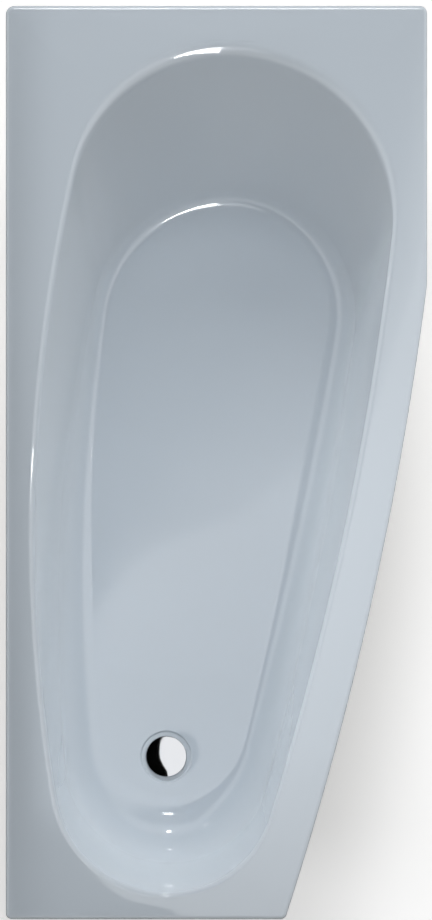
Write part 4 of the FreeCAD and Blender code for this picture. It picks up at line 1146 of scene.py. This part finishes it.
collection.objects.link(lift_spring)
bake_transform(lift_spring)
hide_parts("plug_spring")

# Trap
# A white bottle trap hangs from the tail by a ribbed nut, so that it can be turned to meet the pipe. The
# dip tube reaches into the bowl's water, and a screwed cap below opens for cleaning.

# Grip ribs: the wall sinks between them, and they run out at both ends
rib_tree, size = node_tree("grip_ribs", ["Radius", "Height", "Count", "Bottom", "Top"], takes_shape=True)
spot, height, reach, turn = polar(size["Radius"])
valley = (0.5 - (turn * size["Count"]).maths("COSINE") * 1.2).clamped()
run = ((height - size["Bottom"]) / fade_run).clamped() * ((size["Top"] - height) / fade_run).clamped()
on_wall = reach > size["Radius"] - wall_skin
share = 1 - size["Height"] * valley * run * on_wall / reach.maths("MAXIMUM", near)
close_tree(rib_tree, scaled_from_axis(spot, size["Blank"], share), size["Material"])

trap_nut_low, trap_nut_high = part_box("trap_nut")
collar_ring = 0.027
nut_bore = collar_ring + 0.0003
nut_mouth = 0.0223
nut_wall = 0.005
trap_nut_radius = nut_bore + nut_wall
ledge = trap_nut_low.z + 0.003
trap_nut = turned(
    [
        (tail_radius, flange_low.z, 0.0003), (tail_radius, trap_nut_high.z, 0.0008),
        (trap_nut_radius, trap_nut_high.z, 0.0015), (trap_nut_radius, trap_nut_low.z, 0.0015),
        (nut_mouth, trap_nut_low.z, 0.0005), (nut_mouth, ledge, 0.0003), (nut_bore, ledge, 0.0003),
        (nut_bore, flange_low.z, 0.0003),
    ],
    count=240, fine_radius=trap_nut_radius, fine_step=0.0010,
)
trap_nut_mesh = shaped(
    rib_tree,
    {"Radius": trap_nut_radius, "Height": 0.0014, "Count": 20.0,
     "Bottom": ledge, "Top": trap_nut_high.z - 0.001},
    white_plastic, finished(trap_nut, white_plastic),
)
stand(trap_nut_mesh, "ribbed_trap_nut", "tub", "white_plastic", "trap_nut")
inlet_radius = 0.022
inlet_bore = 0.019
washer("trap_washer", inlet_bore, tail_radius, 0.35, "trap_ring")

trap_low, trap_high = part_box("trap_body")
collar_bottom = trap_high.z - 0.003
bowl_top = 0.130
bowl_radius = 0.042
bowl_wall = 0.003
draft_end = 0.052
dip_end = 0.048
bowl = turned(
    [
        (inlet_bore, trap_high.z, 0.0003), (collar_ring, trap_high.z, 0.0005),
        (collar_ring, collar_bottom, 0.0005), (inlet_radius, collar_bottom, 0.0005),
        (inlet_radius, bowl_top, 0.0012), (bowl_radius - 0.001, bowl_top, 0.008),
        (bowl_radius, draft_end, 0), (bowl_radius, trap_low.z, 0.0004),
        (bowl_radius - bowl_wall, trap_low.z, 0.0004),
        (bowl_radius - bowl_wall, bowl_top - bowl_wall, 0.005), (inlet_radius, bowl_top - bowl_wall, 0.002),
        (inlet_radius, dip_end, 0.0006), (inlet_bore, dip_end, 0.0006),
    ],
    count=96,
)
socket_radius = 0.025
socket_bore = 0.0203
outlet_bore = 0.018
outlet_level = 0.101
socket_end = waste.y - trap_low.y
socket_depth = 0.026
fillet = 0.005
sunk_in = 0.0006
mouth_soft = 0.0008


def branch_ring(radius, reach_at):
    """A ring round the branch, with each vertex as far out from the trap's axis as its place asks."""
    ring = []
    for turn in (2 * math.pi * step / 72 for step in range(72)):
        across = radius * math.cos(turn)
        ring.append(bowl.verts.new((across, -reach_at(across), outlet_level + radius * math.sin(turn))))
    return ring


branch_rings = []
for part in (step / 8 for step in range(9)):
    out = fillet * part ** 2
    branch_rings.append(branch_ring(
        socket_radius + fillet * (1 - part) ** 2,
        lambda across: math.sqrt((bowl_radius - sunk_in) ** 2 - across ** 2) + out,
    ))
for radius, out in (
    (socket_radius, socket_end - mouth_soft), (socket_radius - mouth_soft, socket_end),
    (socket_bore + mouth_soft, socket_end), (socket_bore, socket_end - mouth_soft),
    (socket_bore, socket_end - socket_depth), (outlet_bore, socket_end - socket_depth),
    (outlet_bore, bowl_radius - 0.008), (socket_radius - 0.002, bowl_radius - 0.010),
):
    branch_rings.append(branch_ring(radius, lambda across: out))
for upper, lower in zip(branch_rings, branch_rings[1:] + branch_rings[:1]):
    bridge(bowl, upper, lower, 0)
stand(finished(bowl, white_plastic), "bottle_trap", "trap", "white_plastic", "trap_body")

seal_low, seal_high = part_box("cleanout_seal")
ring = rubber_ring(bowl_radius - bowl_wall, bowl_radius, seal_low.z, seal_high.z, 0.001, 0.001)
stand(ring, "cleanout_ring", "trap", "rubber", "cleanout_seal")
cap_low, cap_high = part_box("cleanout_cap")
cup_radius = (cap_high.x - cap_low.x) / 2
cup = turned(
    [
        (0, cap_low.z + 0.0015, 0), (cup_radius - 0.012, cap_low.z + 0.0015, 0.0008),
        (cup_radius - 0.010, cap_low.z, 0.0008), (cup_radius, cap_low.z, 0.002),
        (cup_radius, cap_high.z, 0.001), (bowl_radius, cap_high.z, 0.0006),
        (bowl_radius, seal_low.z, 0.0005), (0, seal_low.z, 0),
    ],
    count=288, fine_radius=cup_radius, fine_step=0.0010,
)
cup_mesh = shaped(
    rib_tree,
    {"Radius": cup_radius, "Height": 0.0014, "Count": 24.0,
     "Bottom": cap_low.z + 0.003, "Top": cap_high.z - 0.0015},
    white_plastic, finished(cup, white_plastic),
)
stand(cup_mesh, "cleanout_cup", "trap", "white_plastic", "cleanout_cap")

# Outlet
# A grey plastic pipe enters the trap's side socket; a rubber ring in front of it is pressed tight by
# a ribbed nut. The pipe ends in a plain socket for the drain.

# Grey extruded plastic with faint lines along its length
pipe_plastic, sockets, here = surface("pipe_plastic", {"IOR": 1.5})
laid = here.node("ShaderNodeMapping", inputs={"Vector": here, "Scale": (700, 6, 700)})
lines = noise(laid, 1.0, 3.0)
here.feed(sockets["Base Color"], lines.mix((0.30, 0.31, 0.32, 1), (0.36, 0.37, 0.385, 1)))
here.feed(sockets["Roughness"], 0.28 + lines * 0.16)


def lay(mesh, start, name, slot, node, sharp=40):
    """Lays a form made on the Z axis along the outlet, from a place towards the foot end."""
    tipped = Matrix.Rotation(math.radians(90), 4, "X")
    mesh.transform(Matrix.Translation((waste.x, start, outlet_level)) @ tipped)
    return piece(name, mesh, "trap", slot, node, sharp=sharp)


pipe_radius = 0.020
low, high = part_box("outlet_seal")
ring = rubber_ring(pipe_radius, socket_radius, 0, high.y - low.y, 0.0008, 0.0012)
lay(ring, high.y, "outlet_ring", "rubber", "outlet_seal")
low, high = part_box("outlet_nut")
nut_length = high.y - low.y
nut_radius = (high.x - low.x) / 2
gland = turned(
    [
        (socket_radius, 0, 0.0006), (nut_radius, 0, 0.0012), (nut_radius, nut_length, 0.0016),
        (socket_bore, nut_length, 0.0008), (socket_bore, nut_length - 0.004, 0.0004),
        (socket_radius, nut_length - 0.004, 0.0004),
    ],
    count=216, fine_radius=nut_radius, fine_step=0.0010,
)
gland_mesh = shaped(
    rib_tree,
    {"Radius": nut_radius, "Height": 0.0012, "Count": 18.0, "Bottom": 0.001, "Top": nut_length - 0.003},
    white_plastic, finished(gland, white_plastic),
)
lay(gland_mesh, high.y, "outlet_gland_nut", "white_plastic", "outlet_nut")
low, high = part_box("outlet_pipe")
pipe_length = high.y - low.y
pipe_socket = 0.045
mouth_radius = (high.x - low.x) / 2
pipe_wall = 0.002
pipe_bore = pipe_radius - pipe_wall
mouth_bore = mouth_radius - pipe_wall
seat = pipe_length - pipe_socket
tube = turned([
    (pipe_bore, 0, 0.0006), (pipe_radius, 0, 0.0012), (pipe_radius, seat - pipe_wall - 0.002, 0.003),
    (mouth_radius, seat - pipe_wall + 0.002, 0.003), (mouth_radius, pipe_length, 0.0006),
    (mouth_bore, pipe_length, 0.0006), (mouth_bore, seat, 0.002), (pipe_bore, seat - 0.003, 0.002),
])
lay(finished(tube, pipe_plastic), high.y, "waste_pipe", "pipe_plastic", "outlet_pipe")

# Studio
# A pale floor and soft lamps, with the camera straight above the tub as in the photograph. The lamps only
# light; what gloss and metal show is the white surround with a dark cloth and a few small lights in it.

camera_height = 6.0
photo_height = 920
metres_a_pixel = 0.001641
camera_data = bpy.data.cameras.new("camera")
camera_data.sensor_fit = "AUTO"
camera_data.sensor_width = 36.0
camera_data.lens = camera_data.sensor_width * camera_height / (photo_height * metres_a_pixel)
camera_data.clip_end = 50
camera = bpy.data.objects.new("camera", camera_data)
camera.location = (-0.0008, 0.0039, rim + camera_height)
collection.objects.link(camera)
bpy.context.scene.camera = camera


def stage_sheet(name, points, material, faces=None, only_reflected=True):
    """A flat sheet of the studio, not part of the object; one face through its points if none is given."""
    mesh = bpy.data.meshes.new(name)
    mesh.from_pydata(points, [], faces or [tuple(range(len(points)))])
    mesh.materials.append(material)
    sheet = bpy.data.objects.new(name, mesh)
    collection.objects.link(sheet)
    if only_reflected:
        sheet.visible_camera = False
        sheet.visible_diffuse = False
        sheet.visible_transmission = False
        sheet.visible_shadow = False
    return sheet


def seen_rays(lead):
    """1 for the rays that show a background: the camera's, and those off gloss or through glass."""
    camera_ray, gloss_ray, glass_ray = (lead.node("ShaderNodeLightPath", output=place) for place in (0, 3, 6))
    return camera_ray.maths("MAXIMUM", gloss_ray).maths("MAXIMUM", glass_ray)


# Pale floor, with the object's shadow on it; away from the object it passes into the white around it
floor_paint, sockets, here = surface(
    "pale_floor",
    {"Base Color": (0.90, 0.90, 0.90, 1), "Roughness": 0.9, "Specular IOR Level": 0.1,
     "Emission Strength": 1.0},
)
here.feed(sockets["Emission Color"], seen_rays(here).mix((0, 0, 0, 1), (0.42, 0.42, 0.42, 1)))
away = here.node("ShaderNodeVectorMath", {"operation": "LENGTH"}, {0: here}, output="Value")
end = floor_paint.node_tree.nodes["Material Output"].inputs["Surface"]
painted = Lead(floor_paint.node_tree, end.links[0].from_socket)
white = here.node("ShaderNodeEmission", inputs={"Color": (1, 1, 1, 1), "Strength": 1.0})
white_from = 0.85
white_run = 1.1
share = ((away - white_from) / white_run).clamped() * seen_rays(here)
here.feed(end, here.node("ShaderNodeMixShader", inputs={0: share, 1: painted, 2: white}))
reach = 9.0
stage_sheet("studio_floor", [(-reach, -reach, 0), (reach, -reach, 0), (reach, reach, 0), (-reach, reach, 0)],
            floor_paint, only_reflected=False)

# Plain white all round for the camera, metal and gloss; a soft level of it lights the object
world = bpy.data.worlds.new("studio")
bpy.context.scene.world = world
world.use_nodes = True
lead = Lead(world.node_tree)
sky = world.node_tree.nodes["Background"].inputs
sky["Color"].default_value = (1, 1, 1, 1)
sky_level = 0.07
lead.feed(sky["Strength"], sky_level + (1 - sky_level) * seen_rays(lead))
bpy.context.scene.view_settings.view_transform = "Standard"


def glowing(name, strength, fade=None, one_sided=False):
    """A material that only shines, white; from black to white by a sheet's fade, or to one side of it."""
    material = bpy.data.materials.new(name)
    material.use_nodes = True
    material.node_tree.nodes.clear()
    lead = Lead(material.node_tree)
    colour = (1, 1, 1, 1)
    if fade:
        mask = lead.node("ShaderNodeAttribute", {"attribute_name": fade}, output=2)
        colour = mask.mix((0, 0, 0, 1), colour)
    glow = lead.node("ShaderNodeEmission", inputs={"Color": colour, "Strength": strength})
    if one_sided:
        behind = lead.node("ShaderNodeNewGeometry", output=6)
        clear = lead.node("ShaderNodeBsdfTransparent")
        glow = lead.node("ShaderNodeMixShader", inputs={0: behind, 1: glow, 2: clear})
    glow.node("ShaderNodeOutputMaterial", inputs={"Surface": glow}, output=None)
    return material


# A large softbox high up, its long edge across the tub, a little brighter than the white around it
edge_start = Vector((-1.51, -0.87, 3.2))
edge_end = Vector((0.51, 1.55, 3.2))
across = Vector((0.7688, -0.6395, 0)) * 2.8
stage_sheet("softbox", [edge_start, edge_end, edge_end + across, edge_start + across],
            glowing("softbox_cloth", 1.45))

# A black skirt laid round the tub, for a dark line along its rounded edge
near_ring, far_ring = (deck_outline(-reach_out) for reach_out in (0.02, 0.40))
count = len(near_ring)
stage_sheet("black_skirt", [(spot.x, spot.y, 0.40) for spot in near_ring + far_ring],
            glowing("black_cloth", 0.0),
            [(step, (step + 1) % count, count + (step + 1) % count, count + step) for step in range(count)])

# Flags beside the long side, which keep part of the lamps' light off the deck and the head
flag_cloth = glowing("flag_cloth", 0.0)
for name, corners in (
    ("deck_flag", [(-0.95, -0.45, 1.2), (-0.33, -0.45, 1.2), (-0.33, 1.25, 1.2), (-0.95, 1.25, 1.2)]),
    ("low_flag", [(-0.40, -0.95, 0.60), (-0.40, 0.90, 0.60), (-0.40, 0.90, 1.15), (-0.40, -0.15, 1.15),
                  (-0.40, -0.15, 0.68), (-0.40, -0.58, 0.68), (-0.40, -0.58, 1.15), (-0.40, -0.95, 1.15)]),
):
    flag = stage_sheet(name, corners, flag_cloth)
    flag.visible_glossy = False
    flag.visible_shadow = True

# A dark cloth over the head and the long side, seen only in reflections; its edge fades towards the light
cloth_level = 1.55
cloth_far_x = -0.62
cloth_edge = [
    ((-0.047, -1.225), 0.00), ((-0.086, -0.936), 0.00), ((-0.175, -0.783), 0.00), ((-0.226, -0.672), 0.00),
    ((-0.241, -0.583), 0.00), ((-0.236, -0.400), 0.00), ((-0.222, -0.300), 0.01), ((-0.178, -0.209), 0.02),
    ((-0.142, -0.155), 0.03), ((-0.031, -0.034), 0.07), ((0.177, 0.217), 0.10), ((0.420, 0.508), 0.10),
    ((0.840, 1.012), 0.10),
]
points, fades, faces = [], [], []
for index, ((x, y), width) in enumerate(cloth_edge):
    points += [(cloth_far_x, y + 0.1, cloth_level), (x - width, y + width, cloth_level),
               (x + width + 0.0005, y - width, cloth_level)]
    fades += [0.0, 0.0, 1.0]
    if index:
        start = 3 * (index - 1)
        faces += [(start, start + 1, start + 4, start + 3), (start + 1, start + 2, start + 5, start + 4)]
dark_cloth = stage_sheet("dark_cloth", points, glowing("dark_cloth", 1.0, fade="fade"), faces)
attribute = dark_cloth.data.attributes.new("fade", "FLOAT", "POINT")
attribute.data.foreach_set("value", fades)

# Small lights, seen only as white marks on the gloss: a window far off at the head, and strips that lean
# away from the floor, each shining to one side
stage_sheet("far_window", [(-0.28, 1.58, 5.85), (0.18, 1.58, 5.85), (0.18, 1.86, 5.70), (-0.28, 1.86, 5.70)],
            glowing("window_light", 14.0))
strip_light = glowing("strip_light", 30.0, one_sided=True)
lean = 0.16
for name, y, (left_x, left_low, left_high), (right_x, right_low, right_high), side in (
    ("head_strip", 0.0, (0.045, 0.780, 1.530), (0.195, 1.120, 1.330), 1),
    ("foot_high_strip", 0.100, (-0.108, 1.300, 1.490), (-0.048, 1.300, 1.490), -1),
    ("foot_low_strip", 0.350, (-0.100, 0.610, 0.710), (-0.056, 0.610, 0.710), -1),
):
    corners = [(left_x, y, left_low), (right_x, y, right_low),
               (right_x, y - side * lean * (right_high - right_low), right_high),
               (left_x, y - side * lean * (left_high - left_low), left_high)]
    stage_sheet(name, corners[::-side], strip_light)

# Soft lamps: each lights the object, and only the one high at the head also shows in its gloss
for name, place, aim, width, level, in_gloss in (
    ("head_lamp", (0.0, 3.00, 5.00), (0.0, 0.0, 0.3), 1.5, 12.2, True),
    ("head_low_lamp", (0.0, 4.50, 3.60), (0.0, 0.0, 0.3), 1.5, 12.3, False),
    ("right_lamp", (0.60, -0.12, 1.30), (0.3, -0.12, 0.5), 0.5, 1.8, False),
    ("left_lamp", (-1.60, -0.55, 1.50), (0.25, -0.2, 0.4), 0.6, 9.0, False),
    ("top_lamp", (0.0, 0.0, 3.20), (0.0, 0.0, 0.0), 1.0, 6.8, False),
):
    data = bpy.data.lights.new(name, "AREA")
    data.shape = "SQUARE"
    data.size = width
    data.energy = math.pi * width ** 2 * level
    lamp = bpy.data.objects.new(name, data)
    lamp.location = place
    lamp.rotation_euler = (Vector(aim) - Vector(place)).to_track_quat("-Z", "Y").to_euler()
    lamp.visible_camera = False
    lamp.visible_glossy = in_gloss
    collection.objects.link(lamp)
